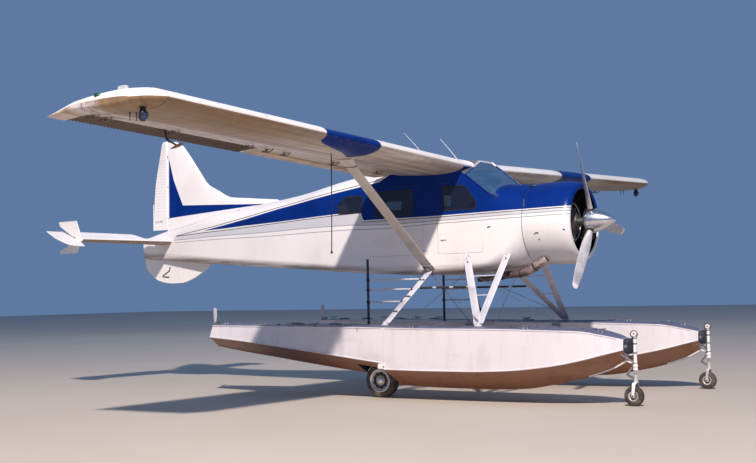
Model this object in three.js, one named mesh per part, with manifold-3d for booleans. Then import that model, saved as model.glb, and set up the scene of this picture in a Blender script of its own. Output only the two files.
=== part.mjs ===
// Amphibious floatplane: strut-braced high wing, radial engine, twin floats on wheels.
// Millimetres. X runs forward, Y to port, Z up from the ground that the wheels stand on.
// Lengthwise places are distances aft of a datum plane just behind the spinner's tip.

import * as THREE from "three";
import { mergeVertices } from "three/addons/utils/BufferGeometryUtils.js";
import Module from "manifold-3d";

const wasm = await Module();
wasm.setup();

// Driving dimensions
const datumX = 3947.5; // datum plane ahead of the origin, which is midway along
const gap = 0.3; // clearance where pieces touch
const swingGap = 6; // clearance round pieces that move
const firewallAft = 1000;
const cabinHalfWidth = 610;
const wallThickness = 30; // also the doors' thickness
const floorTop = 2060;
const wingSpan = 14630;
const wingChord = 1588;
const wingLeadingAft = 1914;
const wingLeadingZ = 3420;
const wingIncidence = 1.5;
const dihedral = 1.98;
const wingThickness = 0.16;
const wingCamber = 0.015;
const flapHingeChord = 0.745;
const flapDroop = 9;
const flapOuterY = 3950;
const aileronOuterY = 7050;
const surfaceEndGap = 18; // either side of a flap or aileron's end
const propellerRadius = 1210;
const propellerAft = 130;
const thrustLineZ = 2530;
const cowlRadius = 612;
const floatCentreY = 1490;
const mainWheelRadius = 250;
const mainWheelAft = 2878;
const mainTyreHalf = 90;
const mainArmOffset = 135; // inboard of the wheel's middle
const noseWheelRadius = 129;
const noseWheelAft = -1018;
const noseLegAft = -1046;
const endPlateY = 2100;
const tailplaneZ = 2545;
const elevatorHingeAft = 8700;
const elevatorRest = 24;
const rudderHingeAft = 8500;

const radians = THREE.MathUtils.degToRad;
const at = (x, y, z) => new THREE.Vector3(x, y, z);
const aft = (distance) => datumX - distance;
const wingLeadingX = aft(wingLeadingAft);

// Finishes: colour, roughness, metalness
const finishes = {
  white_paint: [0xf1f0ec, 0.35, 0.0],
  cowl_paint: [0x15308c, 0.3, 0.0],
  blue_paint: [0x12203c, 0.4, 0.0],
  float_paint: [0xdcdce4, 0.45, 0.0],
  bare_metal: [0xb9bcc0, 0.3, 0.9],
  dark_metal: [0x3a3430, 0.6, 0.6],
  engine_metal: [0x55534f, 0.5, 0.7],
  glass: [0x9fb4c4, 0.05, 0.0],
  tyre: [0x2b2a28, 0.85, 0.0],
  seat_fabric: [0x4a4640, 0.9, 0.0],
  panel_black: [0x1c1c1e, 0.7, 0.0],
  rope: [0x25222a, 0.9, 0.0],
};
const materials = Object.fromEntries(
  Object.entries(finishes).map(([name, [color, roughness, metalness]]) => [
    name,
    new THREE.MeshStandardMaterial({ name, color, roughness, metalness }),
  ]),
);

// Solids: a closed geometry becomes a manifold for joining and cutting, and comes back

function signedVolume(positions, index) {
  let volume = 0;
  const [a, b, c] = [at(0, 0, 0), at(0, 0, 0), at(0, 0, 0)];
  for (let i = 0; i < index.length; i += 3) {
    a.fromArray(positions, index[i] * 3);
    b.fromArray(positions, index[i + 1] * 3);
    c.fromArray(positions, index[i + 2] * 3);
    volume += a.dot(b.cross(c));
  }
  return volume;
}

function solid(geometry) {
  geometry.deleteAttribute("normal");
  geometry.deleteAttribute("uv");
  const merged = mergeVertices(geometry, 1e-3);
  const positions = Float32Array.from(merged.attributes.position.array);
  const triangles = [];
  for (let i = 0; i < merged.index.count; i += 3) {
    const corner = [0, 1, 2].map((k) => merged.index.getX(i + k));
    if (new Set(corner).size === 3) triangles.push(...corner);
  }
  if (signedVolume(positions, triangles) < 0) triangles.reverse();
  const mesh = new wasm.Mesh({
    numProp: 3,
    vertProperties: positions,
    triVerts: Uint32Array.from(triangles),
  });
  return new wasm.Manifold(mesh);
}

function geometryOf(shape) {
  const mesh = shape.getMesh();
  const geometry = new THREE.BufferGeometry();
  geometry.setAttribute("position", new THREE.BufferAttribute(mesh.vertProperties, 3));
  geometry.setIndex(new THREE.BufferAttribute(mesh.triVerts, 1));
  return geometry;
}

const join = (...shapes) => shapes.reduce((whole, shape) => whole.add(shape));
const cut = (shape, ...tools) => tools.reduce((left, tool) => left.subtract(tool), shape);
const mirrorY = (shape) => shape.mirror([0, 1, 0]);
const largest = (shape) => shape.decompose().sort((a, b) => b.volume() - a.volume())[0];

// Cuts a carrier out of a piece that runs into it, and leaves the touching gap.
function seat(piece, carrier, directions) {
  const shifted = directions.map(([x, y, z]) => carrier.translate([x * gap, y * gap, z * gap]));
  return cut(piece, carrier, ...shifted);
}

// Section rings joined from first to last, with flat ends. Each four-sided facet is split
// along its shorter diagonal, so both sides of a symmetrical body match.
function loft(rings) {
  const count = rings[0].length;
  const points = rings.flat();
  const positions = points.flatMap((point) => point.toArray());
  const index = [];
  for (let r = 0; r + 1 < rings.length; r++) {
    for (let i = 0; i < count; i++) {
      const a = r * count + i;
      const b = r * count + ((i + 1) % count);
      const [c, d] = [b + count, a + count];
      const level = points[a].distanceTo(points[c]) <= points[b].distanceTo(points[d]);
      index.push(...(level ? [a, b, c, a, c, d] : [a, b, d, b, c, d]));
    }
  }
  index.push(...capTriangles(rings[0], 0, true));
  index.push(...capTriangles(rings.at(-1), (rings.length - 1) * count, false));
  const geometry = new THREE.BufferGeometry();
  geometry.setAttribute("position", new THREE.Float32BufferAttribute(positions, 3));
  geometry.setIndex(index);
  return solid(geometry);
}

// Flattens a ring along its widest-facing axis and fills it.
function capTriangles(ring, start, reversed) {
  const normal = at(0, 0, 0);
  ring.forEach((point, i) => {
    normal.add(point.clone().cross(ring[(i + 1) % ring.length]));
  });
  const size = normal.toArray().map(Math.abs);
  const drop = size.indexOf(Math.max(...size));
  const flat = ring.map((point) => {
    const [a, b] = point.toArray().filter((_, axis) => axis !== drop);
    return new THREE.Vector2(a, b);
  });
  const forward = THREE.ShapeUtils.area(flat) > 0;
  return THREE.ShapeUtils.triangulateShape(flat, []).flatMap(([a, b, c]) => {
    const area = (flat[b].x - flat[a].x) * (flat[c].y - flat[a].y)
      - (flat[b].y - flat[a].y) * (flat[c].x - flat[a].x);
    const along = area > 0 === forward;
    const corner = along === reversed ? [a, c, b] : [a, b, c];
    return corner.map((i) => i + start);
  });
}

function box(x0, x1, y0, y1, z0, z1) {
  const geometry = new THREE.BoxGeometry(x1 - x0, y1 - y0, z1 - z0);
  geometry.translate((x0 + x1) / 2, (y0 + y1) / 2, (z0 + z1) / 2);
  return solid(geometry);
}

// A profile of [radius, distance along the axis] turned about an axis through the centre.
function turned(profile, axis, centre, segments) {
  const geometry = new THREE.LatheGeometry(
    profile.map(([radius, along]) => new THREE.Vector2(radius, along)),
    segments,
  );
  const turn = new THREE.Quaternion().setFromUnitVectors(at(0, 1, 0), axis.clone().normalize());
  geometry.applyQuaternion(turn);
  geometry.translate(centre.x, centre.y, centre.z);
  return solid(geometry);
}

function rod(from, to, radius, segments = 10) {
  const length = from.distanceTo(to);
  const axis = to.clone().sub(from);
  return turned([[0, 0], [radius, 0], [radius, length], [0, length]], axis, from, segments);
}

// An outline in the XZ plane, given as [x, z] or a Shape, with its thickness along Y.
function plateXZ(outline, y0, y1) {
  const shape = outline instanceof THREE.Shape ? outline
    : new THREE.Shape(outline.map(([x, z]) => new THREE.Vector2(x, z)));
  const geometry = new THREE.ExtrudeGeometry(shape, {
    depth: y1 - y0,
    bevelEnabled: false,
    curveSegments: 8,
  });
  geometry.rotateX(Math.PI / 2);
  geometry.translate(0, y1, 0);
  return solid(geometry);
}

// A streamlined tube between two points: lens section, chord lying fore and aft.
function streamlined(from, to, chord, thickness, points = 12) {
  const along = to.clone().sub(from).normalize();
  const chordwise = at(1, 0, 0).addScaledVector(along, -along.x).normalize();
  const across = along.clone().cross(chordwise);
  const ring = (centre) => Array.from({ length: points }, (_, i) => {
    const angle = (2 * Math.PI * i) / points;
    return centre.clone()
      .addScaledVector(chordwise, Math.cos(angle) * chord / 2)
      .addScaledVector(across, Math.sin(angle) * thickness / 2);
  });
  return loft([ring(from), ring(to)]);
}

// The node list: each piece is a named mesh in the exported group
const floatplane = new THREE.Group();
const shapes = {};

function piece(name, shape, finish) {
  const mesh = new THREE.Mesh(geometryOf(shape), materials[finish]);
  mesh.name = name;
  floatplane.add(mesh);
  shapes[name] = shape;
}

// A starboard shape gives both sides.
function pair(name, starboard, finish) {
  piece(`${name}_right`, starboard, finish);
  piece(`${name}_left`, mirrorY(starboard), finish);
}

// Body sections: rounded rectangles across the fuselage

function bodyRing([back, half, bottom, top, topY, topZ, lowY, lowZ], inset = 0) {
  const corners = [
    // side, level, radii across and up, start angle
    [half - lowY, bottom + lowZ, lowY - inset, lowZ - inset, -90],
    [half - topY, top - topZ, topY - inset, topZ - inset, 0],
    [topY - half, top - topZ, topY - inset, topZ - inset, 90],
    [lowY - half, bottom + lowZ, lowY - inset, lowZ - inset, 180],
  ];
  const steps = 5;
  return corners.flatMap(([y, z, across, up, start]) =>
    Array.from({ length: steps + 1 }, (_, i) => {
      const angle = radians(start + (90 * i) / steps);
      return at(aft(back), y + across * Math.cos(angle), z + up * Math.sin(angle));
    }));
}

// Columns: aft, half width, bottom, top, top corner across and up, lower corner across and up
const noseSections = [
  [firewallAft, 605, 1915, 3128, 592, 604, 592, 604],
  [1300, 609, 1866, 3132, 500, 440, 380, 300],
  [1600, 610, 1832, 3100, 400, 300, 200, 150],
  [1900, 610, 1812, 3040, 300, 200, 120, 110],
];
const cabinSections = [
  [1290, 480, 2900, 3320, 100, 80, 50, 50],
  [1500, 609, 2800, 3420, 160, 110, 60, 60],
  [1760, 610, 1900, 3500, 330, 150, 130, 110],
  [1950, 610, 1808, 3540, 330, 170, 110, 100],
  [2560, 610, 1795, 3550, 300, 170, 100, 90],
  [3500, 606, 1836, 3470, 300, 200, 100, 90],
  [4150, 592, 1876, 3400, 380, 270, 110, 100],
];
const tailSections = [
  [5250, 475, 1962, 3224, 400, 310, 130, 130],
  [6250, 366, 2030, 3108, 320, 300, 130, 130],
  [7200, 262, 2102, 3006, 230, 260, 120, 120],
  [7900, 186, 2152, 2880, 165, 200, 100, 110],
  [8460, 124, 2196, 2752, 112, 120, 80, 100],
  [9050, 62, 2250, 2615, 55, 60, 55, 80],
];

// Wing section, in chord fractions from the leading edge
const chordStations = [0, 0.012, 0.05, 0.12, 0.22, 0.35, 0.5, 0.64, 0.78, 0.9, 1];

function sectionHeight(s, side) {
  const thickness = 5 * wingThickness * (0.2969 * Math.sqrt(s) - 0.126 * s - 0.3516 * s * s
    + 0.2843 * s ** 3 - 0.1 * s ** 4);
  const camber = 4 * wingCamber * s * (1 - s);
  return camber + side * thickness;
}

// The airfoil at a span station, before dihedral.
function wingRing(y, leading = 0, squeeze = 1) {
  const chord = wingChord - leading;
  const point = (s, side) => {
    const x = -leading - s * chord;
    const z = sectionHeight(s, side) * wingChord * squeeze;
    const tilt = radians(wingIncidence);
    return at(
      wingLeadingX + x * Math.cos(tilt) + z * Math.sin(tilt),
      y,
      wingLeadingZ + x * Math.sin(tilt) + z * Math.cos(tilt),
    );
  };
  const upper = chordStations.map((s) => point(s, 1));
  const lower = chordStations.slice(1).reverse().map((s) => point(s, -1));
  return [...upper, ...lower];
}

const wingChordPoint = (s) => at(
  wingLeadingX - s * wingChord * Math.cos(radians(wingIncidence)),
  0,
  wingLeadingZ - s * wingChord * Math.sin(radians(wingIncidence))
    + 4 * wingCamber * s * (1 - s) * wingChord,
);

// Raises a level starboard wing shape in step with its distance out, so its ribs stay upright.
const wingRise = (y) => Math.abs(y) * Math.tan(radians(dihedral));
const withDihedral = (shape) => shape.transform([
  1, 0, 0, 0, 0, 1, -wingRise(1), 0, 0, 0, 1, 0, 0, 0, 0, 1,
]);

// Fuselage

const screenNormal = at(0.578, 0.371, 0.727).normalize();
const screenPoint = at(aft(1310), 0, 3130);

// What lies behind both windscreen panes, moved out by an offset.
function behindScreen(shape, offset) {
  return [1, -1].reduce((left, side) => {
    const normal = at(screenNormal.x, screenNormal.y * side, screenNormal.z);
    const reach = normal.dot(screenPoint) + offset;
    return left.trimByPlane(normal.clone().negate().toArray(), -reach);
  }, shape);
}

const doors = {
  // Aft of the datum: hinge edge and rear edge. Levels: sill and head. The front upper corner
  // is cut off from slantZ on the hinge edge to slantAft on the head. Window corners: aft, z
  front_door: {
    hinge: 1640, rear: 2400, sill: 2110, head: 3180, slantZ: 2950, slantAft: 1900,
    window: [[1745, 2775], [1745, 2890], [1935, 3120], [2300, 3120], [2300, 2775]],
  },
  rear_door: {
    hinge: 2660, rear: 3660, sill: 2110, head: 3180, slantZ: 3120, slantAft: 2720,
    window: [[2840, 2735], [2840, 3110], [3520, 3110], [3520, 2735]],
  },
};

// A door's outline, grown by one gap at its hinge edge and another all round the rest.
function doorOutline({ hinge, rear, sill, head, slantZ, slantAft }, hingeGrow = 0, grow = 0) {
  return [
    [hinge - hingeGrow, sill - grow], [hinge - hingeGrow, slantZ + grow],
    [slantAft - grow, head + grow], [rear + grow, head + grow], [rear + grow, sill - grow],
  ];
}
const aftWindow = [[3800, 2830], [3770, 3070], [4080, 3070], [4240, 2960], [4240, 2830]];

// An outline of [aft, z] corners as a plate between two depths on the starboard side.
function sidePlate(corners, depthOut, depthIn, grow = 0) {
  const middle = [0, 1].map((k) => corners.reduce((sum, c) => sum + c[k], 0) / corners.length);
  const outline = corners.map(([back, z]) => [
    aft(back + Math.sign(back - middle[0]) * grow),
    z + Math.sign(z - middle[1]) * grow,
  ]);
  return plateXZ(outline, -cabinHalfWidth - depthOut, -cabinHalfWidth + depthIn);
}

function fuselageShell() {
  const nose = loft(noseSections.map((row) => bodyRing(row)));
  const cabin = behindScreen(loft([...cabinSections, ...tailSections].map((row) => bodyRing(row))), 0);
  const centreSection = loft([wingRing(-cabinHalfWidth), wingRing(cabinHalfWidth)])
    .translate([0, 0, wingRise(cabinHalfWidth)]);
  return join(nose, cabin, centreSection);
}

function cabinSpace() {
  const rows = cabinSections.slice(1).map(([back, half, bottom, top, ...radii]) =>
    [back, half, Math.max(bottom, floorTop - wallThickness), Math.min(top, 3400), ...radii]);
  rows[0][2] = 2700;
  rows[1][2] = floorTop - wallThickness;
  const space = loft(rows.map((row) => bodyRing(row, wallThickness)));
  const footwell = box(aft(1900), aft(1420), -540, 540, floorTop, 2950);
  const tailSpace = loft([
    [4190, 560, 2030, 3350, 380, 270, 110, 100],
    ...tailSections.slice(0, 4),
  ].map((row) => bodyRing(row, wallThickness)));
  const hatch = box(aft(4300), aft(4100), -300, 300, 2250, 2900);
  return join(space, footwell, tailSpace, hatch);
}

function stabilizer() {
  // Columns: distance out, leading edge aft, half thickness
  const rows = [[0, 8250, 56], [endPlateY + 5, 8480, 44]];
  const ring = (y, leading, half) => {
    const back = elevatorHingeAft - 44;
    const length = back - leading;
    const outline = [
      [0, 0], [0.04, 0.5], [0.18, 0.9], [0.5, 1], [1, 0.72],
      [1, -0.72], [0.5, -1], [0.18, -0.9], [0.04, -0.5],
    ];
    return outline.map(([s, t]) => at(aft(leading + s * length), y, tailplaneZ + t * half));
  };
  const [root, tip] = rows;
  return loft([
    ring(-tip[0], tip[1], tip[2]),
    ring(0, root[1], root[2]),
    ring(tip[0], tip[1], tip[2]),
  ]);
}

const tailplaneBlank = stabilizer();
const everyWay = [[1, 0, 0], [-1, 0, 0], [0, 0, 1], [0, 0, -1]];

function fuselage() {
  let body = cut(fuselageShell(), cabinSpace());
  const cuts = [
    ...Object.values(doors).map((door) =>
      sidePlate(doorOutline(door, gap, swingGap), 60, wallThickness + 30)),
    sidePlate(aftWindow, 60, 60),
  ];
  body = cut(body, ...cuts, ...cuts.map(mirrorY));
  const engineBay = box(aft(1240), aft(900), -430, 430, 2130, 2930);
  return seat(cut(body, engineBay), tailplaneBlank, everyWay);
}

const fuselageSolid = fuselage();
piece("fuselage", fuselageSolid, "white_paint");

// Windscreen: two flat panes meeting at the centre post

function windscreen() {
  const front = loft(cabinSections.slice(0, 4).map((row) => bodyRing(row)));
  const panes = cut(behindScreen(front, 9), behindScreen(front, gap));
  const nose = loft(noseSections.map((row) => bodyRing(row)));
  return seat(panes, nose, [[0, 0, 1], [1, 0, 0]])
    .trimByPlane([0, 0, 1], 2900)
    .trimByPlane([-1, 0, 0], -aft(1290))
    .trimByPlane([1, 0, 0], wingLeadingX + 18);
}
piece("windscreen", windscreen(), "glass");

// Doors, with their windows cut, and the panes in them

for (const [name, door] of Object.entries(doors)) {
  const { rear, window } = door;
  const skin = sidePlate(doorOutline(door), 0, wallThickness);
  const handleZ = 2330;
  const handle = rod(
    at(aft(rear - 160), -cabinHalfWidth - 14, handleZ),
    at(aft(rear - 60), -cabinHalfWidth - 14, handleZ), 6, 8,
  );
  const stalk = rod(
    at(aft(rear - 70), -cabinHalfWidth - 14, handleZ),
    at(aft(rear - 70), -cabinHalfWidth + 5, handleZ), 8, 8,
  );
  const panel = join(cut(skin, sidePlate(window, 20, 60)), handle, stalk);
  pair(name, panel, "white_paint");
  pair(`${name}_glass`, sidePlate(window, -8, 14, -gap), "glass");
}
pair("aft_window", sidePlate(aftWindow, -8, 14, -gap), "glass");

// Cowling: a ring open at the nose and at the firewall

function cowling() {
  // Columns: radius, aft. Outside from the lip back, then inside to the lip again
  const profile = [
    [488, 262], [520, 252], [560, 275], [590, 330], [606, 420], [cowlRadius, 560],
    [cowlRadius, 800], [cowlRadius - 6, firewallAft - gap], [cowlRadius - 22, firewallAft - gap],
    [cowlRadius - 18, 780],
    [cowlRadius - 18, 560], [586, 430], [560, 345], [520, 300], [488, 262],
  ];
  return turned(
    profile.map(([radius, back]) => [radius, -back]),
    at(1, 0, 0), at(datumX, 0, thrustLineZ - 9), 36,
  );
}

// Exhaust: an elbow out of the cowling's starboard side, and a level pipe below the belly

function exhaust() {
  const ring = (back, y, z, radius, squash) => Array.from({ length: 14 }, (_, i) => {
    const angle = (2 * Math.PI * i) / 14;
    return at(aft(back + squash * Math.sin(angle)), y + radius * Math.cos(angle),
      z + radius * Math.sin(angle));
  });
  const outer = loft([
    ring(735, -330, 1988, 66, 60), ring(860, -342, 1905, 66, 45), ring(1000, -345, 1822, 61, 24),
    ring(1170, -345, 1782, 57, 10), ring(1420, -345, 1764, 57, 5), ring(1480, -345, 1742, 46, 6),
    ring(1850, -345, 1716, 45, 4),
  ]);
  const bore = loft([ring(1600, -345, 1733.6, 37, 4), ring(1855, -345, 1715.6, 37, 4)]);
  return cut(outer, bore);
}
const cowlSolid = cowling();
const exhaustSolid = exhaust();
const noGap = [[1, 0, 0], [-1, 0, 0], [0, 1, 0], [0, -1, 0], [0, 0, 1], [0, 0, -1]];
piece("cowling", seat(cowlSolid, exhaustSolid, noGap), "cowl_paint");

// Engine: nine cylinders round a crankcase that reaches back to the firewall

function engine() {
  const centre = at(datumX, 0, thrustLineZ);
  const crankcase = turned([
    [0, -345], [90, -345], [150, -400], [235, -470], [250, -660], [330, -700],
    [330, -930], [380, -1239.7], [0, -1239.7],
  ], at(1, 0, 0), centre, 18);
  const cylinders = Array.from({ length: 9 }, (_, i) => {
    const angle = (2 * Math.PI * i) / 9;
    const out = at(0, Math.sin(angle), Math.cos(angle));
    const foot = at(aft(570), 0, thrustLineZ).addScaledVector(out, 180);
    const head = at(aft(570), 0, thrustLineZ).addScaledVector(out, 555);
    return rod(foot, head, 72, 10);
  });
  return join(crankcase, ...cylinders);
}
piece("engine", cut(engine(), fuselageSolid), "engine_metal");
piece("exhaust_pipe", cut(exhaustSolid, fuselageSolid, fuselageSolid.translate([0, 0, -gap]),
  fuselageSolid.translate([gap, 0, 0]), engine()), "dark_metal");

// Propeller: three blades on a hub, with a hollow spinner over it

function propeller() {
  const centre = at(aft(propellerAft), 0, thrustLineZ);
  // Columns: out along the blade, chord, thickness, pitch in degrees
  const stations = [
    [60, 84, 84, 90], [200, 88, 76, 60], [330, 150, 46, 48], [520, 186, 30, 38],
    [820, 188, 20, 28], [1060, 160, 13, 22], [1170, 118, 9, 20], [propellerRadius, 52, 6, 19],
  ];
  const blade = loft(stations.map(([out, chord, thick, pitch]) =>
    Array.from({ length: 10 }, (_, i) => {
      const angle = (2 * Math.PI * i) / 10;
      const along = Math.cos(angle) * chord / 2;
      const through = Math.sin(angle) * thick / 2;
      const turn = radians(pitch);
      return at(
        along * Math.sin(turn) + through * Math.cos(turn),
        -along * Math.cos(turn) + through * Math.sin(turn),
        out,
      );
    })));
  const restAngle = 24.2;
  const blades = [0, 120, 240].map((step) =>
    blade.rotate([restAngle + step, 0, 0]).translate(centre.toArray()));
  const hub = turned([[0, -74], [96, -74], [96, 60], [40, 110], [0, 110]], at(1, 0, 0), centre, 18);
  const shaft = rod(at(aft(344.7), 0, thrustLineZ), at(aft(180), 0, thrustLineZ), 60, 18);
  return { blades: join(hub, shaft, ...blades), centre };
}

function spinner(bladeSolid, centre) {
  const tip = propellerAft + 240;
  const profile = [
    [0, tip], [30, tip - 22], [84, tip - 100], [132, tip - 196], [166, tip - 300],
    [184, tip - 400], [186, -60], [186, -74], [97, -74], [97, -66], [176, -66],
    [160, tip - 310], [126, tip - 206], [78, tip - 112], [26, tip - 36], [0, tip - 24],
  ];
  const shell = turned(profile, at(1, 0, 0), centre, 20);
  const openings = [0, 120, 240].map((step) => {
    const angle = radians(24.2 + step);
    const out = at(0, -Math.sin(angle), Math.cos(angle));
    const from = centre.clone().addScaledVector(out, 110);
    const to = centre.clone().addScaledVector(out, 260);
    return rod(from, to, 50, 12);
  });
  return seat(cut(shell, ...openings), bladeSolid, noGap);
}
const { blades: bladeSolid, centre: propellerCentre } = propeller();
piece("propeller_blades", bladeSolid, "bare_metal");
piece("spinner", spinner(bladeSolid, propellerCentre), "bare_metal");

// Wings: a solid box with a full-chord tip; flap and aileron hang behind it

const hingePoint = wingChordPoint(flapHingeChord);
const flapRadius = 34;
const surfaceAxis = at(hingePoint.x - flapRadius - 14, 0, hingePoint.z - 16);

// Outside the aileron the section's rear droops as the aileron does.
const droopedRear = (ring) => ring.map(({ x, y, z }) =>
  at(x, y, z - Math.max(0, hingePoint.x - x) * Math.tan(radians(flapDroop))));

function wingBlank() {
  const tip = wingSpan / 2;
  return loft([
    wingRing(-cabinHalfWidth - gap), wingRing(-6960), wingRing(-7110, 28, 0.97),
    wingRing(-7240, 130, 0.8), wingRing(-tip, 330, 0.42),
  ].map(droopedRear));
}

// The moving part behind the hinge, between two span stations.
function trailingSurface(inner, outer) {
  const axis = surfaceAxis;
  const trailing = wingChordPoint(1);
  const length = axis.x - trailing.x;
  const ring = (y) => {
    const nose = Array.from({ length: 7 }, (_, i) => {
      const angle = radians(90 - 30 * i);
      return [flapRadius * Math.cos(angle), flapRadius * Math.sin(angle)];
    });
    const outline = [...nose, [-length * 0.5, -14], [-length, -4], [-length, 4], [-length * 0.5, 24]];
    return outline.map(([x, z]) => at(axis.x + x, y, axis.z + z));
  };
  return loft([ring(-inner), ring(-outer)]);
}

function turnAboutSurfaceAxis(shape, degrees) {
  return shape.translate([-surfaceAxis.x, 0, -surfaceAxis.z])
    .rotate([0, degrees, 0])
    .translate([surfaceAxis.x, 0, surfaceAxis.z]);
}

function hingeLug(y) {
  return box(surfaceAxis.x + flapRadius + gap, hingePoint.x + 20, y - 20, y + 20,
    surfaceAxis.z - 14, surfaceAxis.z + 14);
}

function wing() {
  const bay = box(
    aft(4000), hingePoint.x, -aileronOuterY - surfaceEndGap, -cabinHalfWidth + 10, 3000, 3800,
  );
  const lugs = [1250, 2400, 3550, 4340, 5740, 6850].map((y) => hingeLug(-y));
  return withDihedral(join(cut(wingBlank(), bay), ...lugs));
}

// The aileron carries a weight on an arm that leads its hinge below the wing.
function aileron() {
  const surface = trailingSurface(flapOuterY + surfaceEndGap, aileronOuterY);
  const [y, elbowDrop] = [-5800, -165];
  const elbow = at(surfaceAxis.x + 2, y, surfaceAxis.z + elbowDrop);
  const drop = rod(at(surfaceAxis.x - 10, y, surfaceAxis.z - 10), elbow, 12, 10);
  const arm = rod(elbow, at(surfaceAxis.x + 150, y, surfaceAxis.z - 280), 12, 10);
  const bend = rod(elbow.clone().setY(y - 12), elbow.clone().setY(y + 12), 14, 12);
  const weight = turned([
    [0, -110], [8, -90], [18, -10], [20, 45], [14, 90], [0, 106],
  ], at(1, 0, 0.08), at(surfaceAxis.x + 150, y, surfaceAxis.z - 288), 12);
  return withDihedral(turnAboutSurfaceAxis(join(surface, drop, bend, arm, weight), -flapDroop));
}

const wingSolid = wing();
pair("wing", wingSolid, "white_paint");
pair("flap", withDihedral(turnAboutSurfaceAxis(
  trailingSurface(cabinHalfWidth + surfaceEndGap, flapOuterY), -flapDroop)), "white_paint");
pair("aileron", aileron(), "white_paint");

// Lift struts, from the lower longeron to the wing

const strutFoot = at(aft(2560), -590, 1868);
const strutTop = at(aft(2593), -2840, 3442);
const liftStrut = largest(seat(
  seat(streamlined(strutFoot, strutTop, 185, 60), wingSolid, [[0, 0, -1]]),
  fuselageSolid, [[0, -1, 0]],
));
pair("lift_strut", liftStrut, "white_paint");

// Fin with its dorsal fillet, and the rudder

function finRing([z, leading, thick], back) {
  const length = back - leading;
  const outline = [
    [0, 0], [0.06, 0.45], [0.3, 0.9], [0.65, 1], [1, 0.8],
    [1, -0.8], [0.65, -1], [0.3, -0.9], [0.06, -0.45],
  ];
  return outline.map(([s, t]) => at(aft(leading + s * length), t * thick / 2, z));
}

// Columns: level, leading edge aft, thickness
const finLevels = [
  [2600, 6900, 96], [3050, 5900, 92], [3176, 5900, 86], [3216, 6280, 84], [3243, 6550, 82],
  [3266, 6820, 80], [3286, 6980, 80], [3330, 7100, 80], [3395, 7215, 80], [3545, 7495, 80], [3805, 7705, 74], [4181, 8000, 62],
  [4312, 8125, 52], [4380, 8270, 42],
];
const finBack = rudderHingeAft - 44;
const finHinges = [2980, 3560, 4120];

function fin() {
  const blade = loft(finLevels.map((row) => finRing(row, finBack)));
  const lugs = finHinges.map((z) => box(aft(rudderHingeAft - 30.3), aft(finBack - 10), -16, 16,
    z - 20, z + 20));
  return largest(seat(join(blade, ...lugs), fuselageSolid, [[0, 0, 1]]));
}

function rudder() {
  // Columns: level, trailing edge aft
  const rows = [[2772, 8852], [3530, 8790], [4200, 8650], [4340, 8620], [4402, 8580]];
  const ring = (z, back) => {
    const nose = Array.from({ length: 7 }, (_, i) => {
      const angle = radians(90 - 30 * i);
      return [30 * Math.cos(angle), 30 * Math.sin(angle)];
    });
    const length = back - rudderHingeAft;
    const outline = [...nose, [-length, -5], [-length, 5]];
    return outline.map(([x, y]) => at(aft(rudderHingeAft) + x, y, z));
  };
  return loft(rows.map(([z, back]) => ring(z, back)));
}
piece("fin", fin(), "white_paint");
piece("rudder", rudder(), "white_paint");

// Tailplane with end plates, and the elevators hinged behind it

const elevatorRadius = 36;
const rootY = 190;

function endPlate() {
  const hinge = aft(elevatorHingeAft);
  const outline = [
    [hinge + 92, tailplaneZ - 190], [hinge + 160, tailplaneZ - 20], [hinge + 160, tailplaneZ + 70],
    [hinge + 62, tailplaneZ + 312], [hinge - 360, tailplaneZ + 306],
    [hinge - 330, tailplaneZ + 236], [hinge - 20, tailplaneZ + 52],
    [hinge + 48, tailplaneZ + 34], [hinge + 48, tailplaneZ - 34], [hinge - 20, tailplaneZ - 52],
    [hinge - 330, tailplaneZ - 186], [hinge - 330, tailplaneZ - 232],
    [hinge + 62, tailplaneZ - 230],
  ];
  return plateXZ(outline, -endPlateY - 5, -endPlateY + 5);
}

function tailplane() {
  const lugs = [520, 1300, 1960].map((y) => box(
    aft(elevatorHingeAft - elevatorRadius - gap), aft(elevatorHingeAft - 60),
    -y - 18, -y + 18, tailplaneZ - 12, tailplaneZ + 12,
  ));
  const plates = endPlate();
  const side = join(plates, ...lugs);
  return join(tailplaneBlank, side, mirrorY(side));
}

// Drawn level, then raised to the rest angle about the hinge.
function elevator() {
  const trailing = 372;
  const section = (front, back, half) => {
    const nose = front > elevatorRadius
      ? [[0, half], [front, 4], [front, -4], [0, -half]]
      : Array.from({ length: 7 }, (_, i) => {
        const angle = radians(90 - 30 * i);
        return [half * Math.cos(angle), half * Math.sin(angle)];
      });
    return [...nose, [-back, -4], [-back, 4]];
  };
  const ring = (y, front, back, half) => section(front, back, half)
    .map(([x, z]) => at(x, -y, z));
  const main = loft([
    ring(rootY, 0, 150, elevatorRadius), ring(rootY + 200, 0, trailing, elevatorRadius),
    ring(endPlateY - 12, 0, trailing, elevatorRadius),
  ]);
  const neck = loft([
    ring(endPlateY - 13, 0, 60, 24), ring(endPlateY + 13, 0, 60, 24),
  ]);
  const horn = loft([
    ring(endPlateY + 12, 300, trailing, 34), ring(endPlateY + 200, 295, trailing, 32),
    ring(endPlateY + 300, 260, trailing, 27), ring(endPlateY + 345, 190, 240, 21),
    ring(endPlateY + 370, 80, 90, 13),
  ]);
  return join(main, neck, horn)
    .rotate([0, elevatorRest, 0])
    .translate([aft(elevatorHingeAft), 0, tailplaneZ]);
}
piece("tailplane", tailplane(), "white_paint");
pair("elevator", elevator(), "white_paint");

// Ventral fin: a half moon under the tail

function ventralFin() {
  const outline = [
    [9060, 2330], [9020, 2100], [8900, 1965], [8700, 1845], [8400, 1797], [8150, 1803],
    [7900, 1868], [7700, 1965], [7500, 2100], [7460, 2250],
  ].map(([back, z]) => [aft(back), z]);
  return largest(seat(plateXZ(outline, -14, 14), fuselageSolid, [[0, 0, -1]]));
}
piece("ventral_fin", ventralFin(), "white_paint");

// Floats: lofted hulls with a step, a wheel well behind it and a bow bumper

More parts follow.
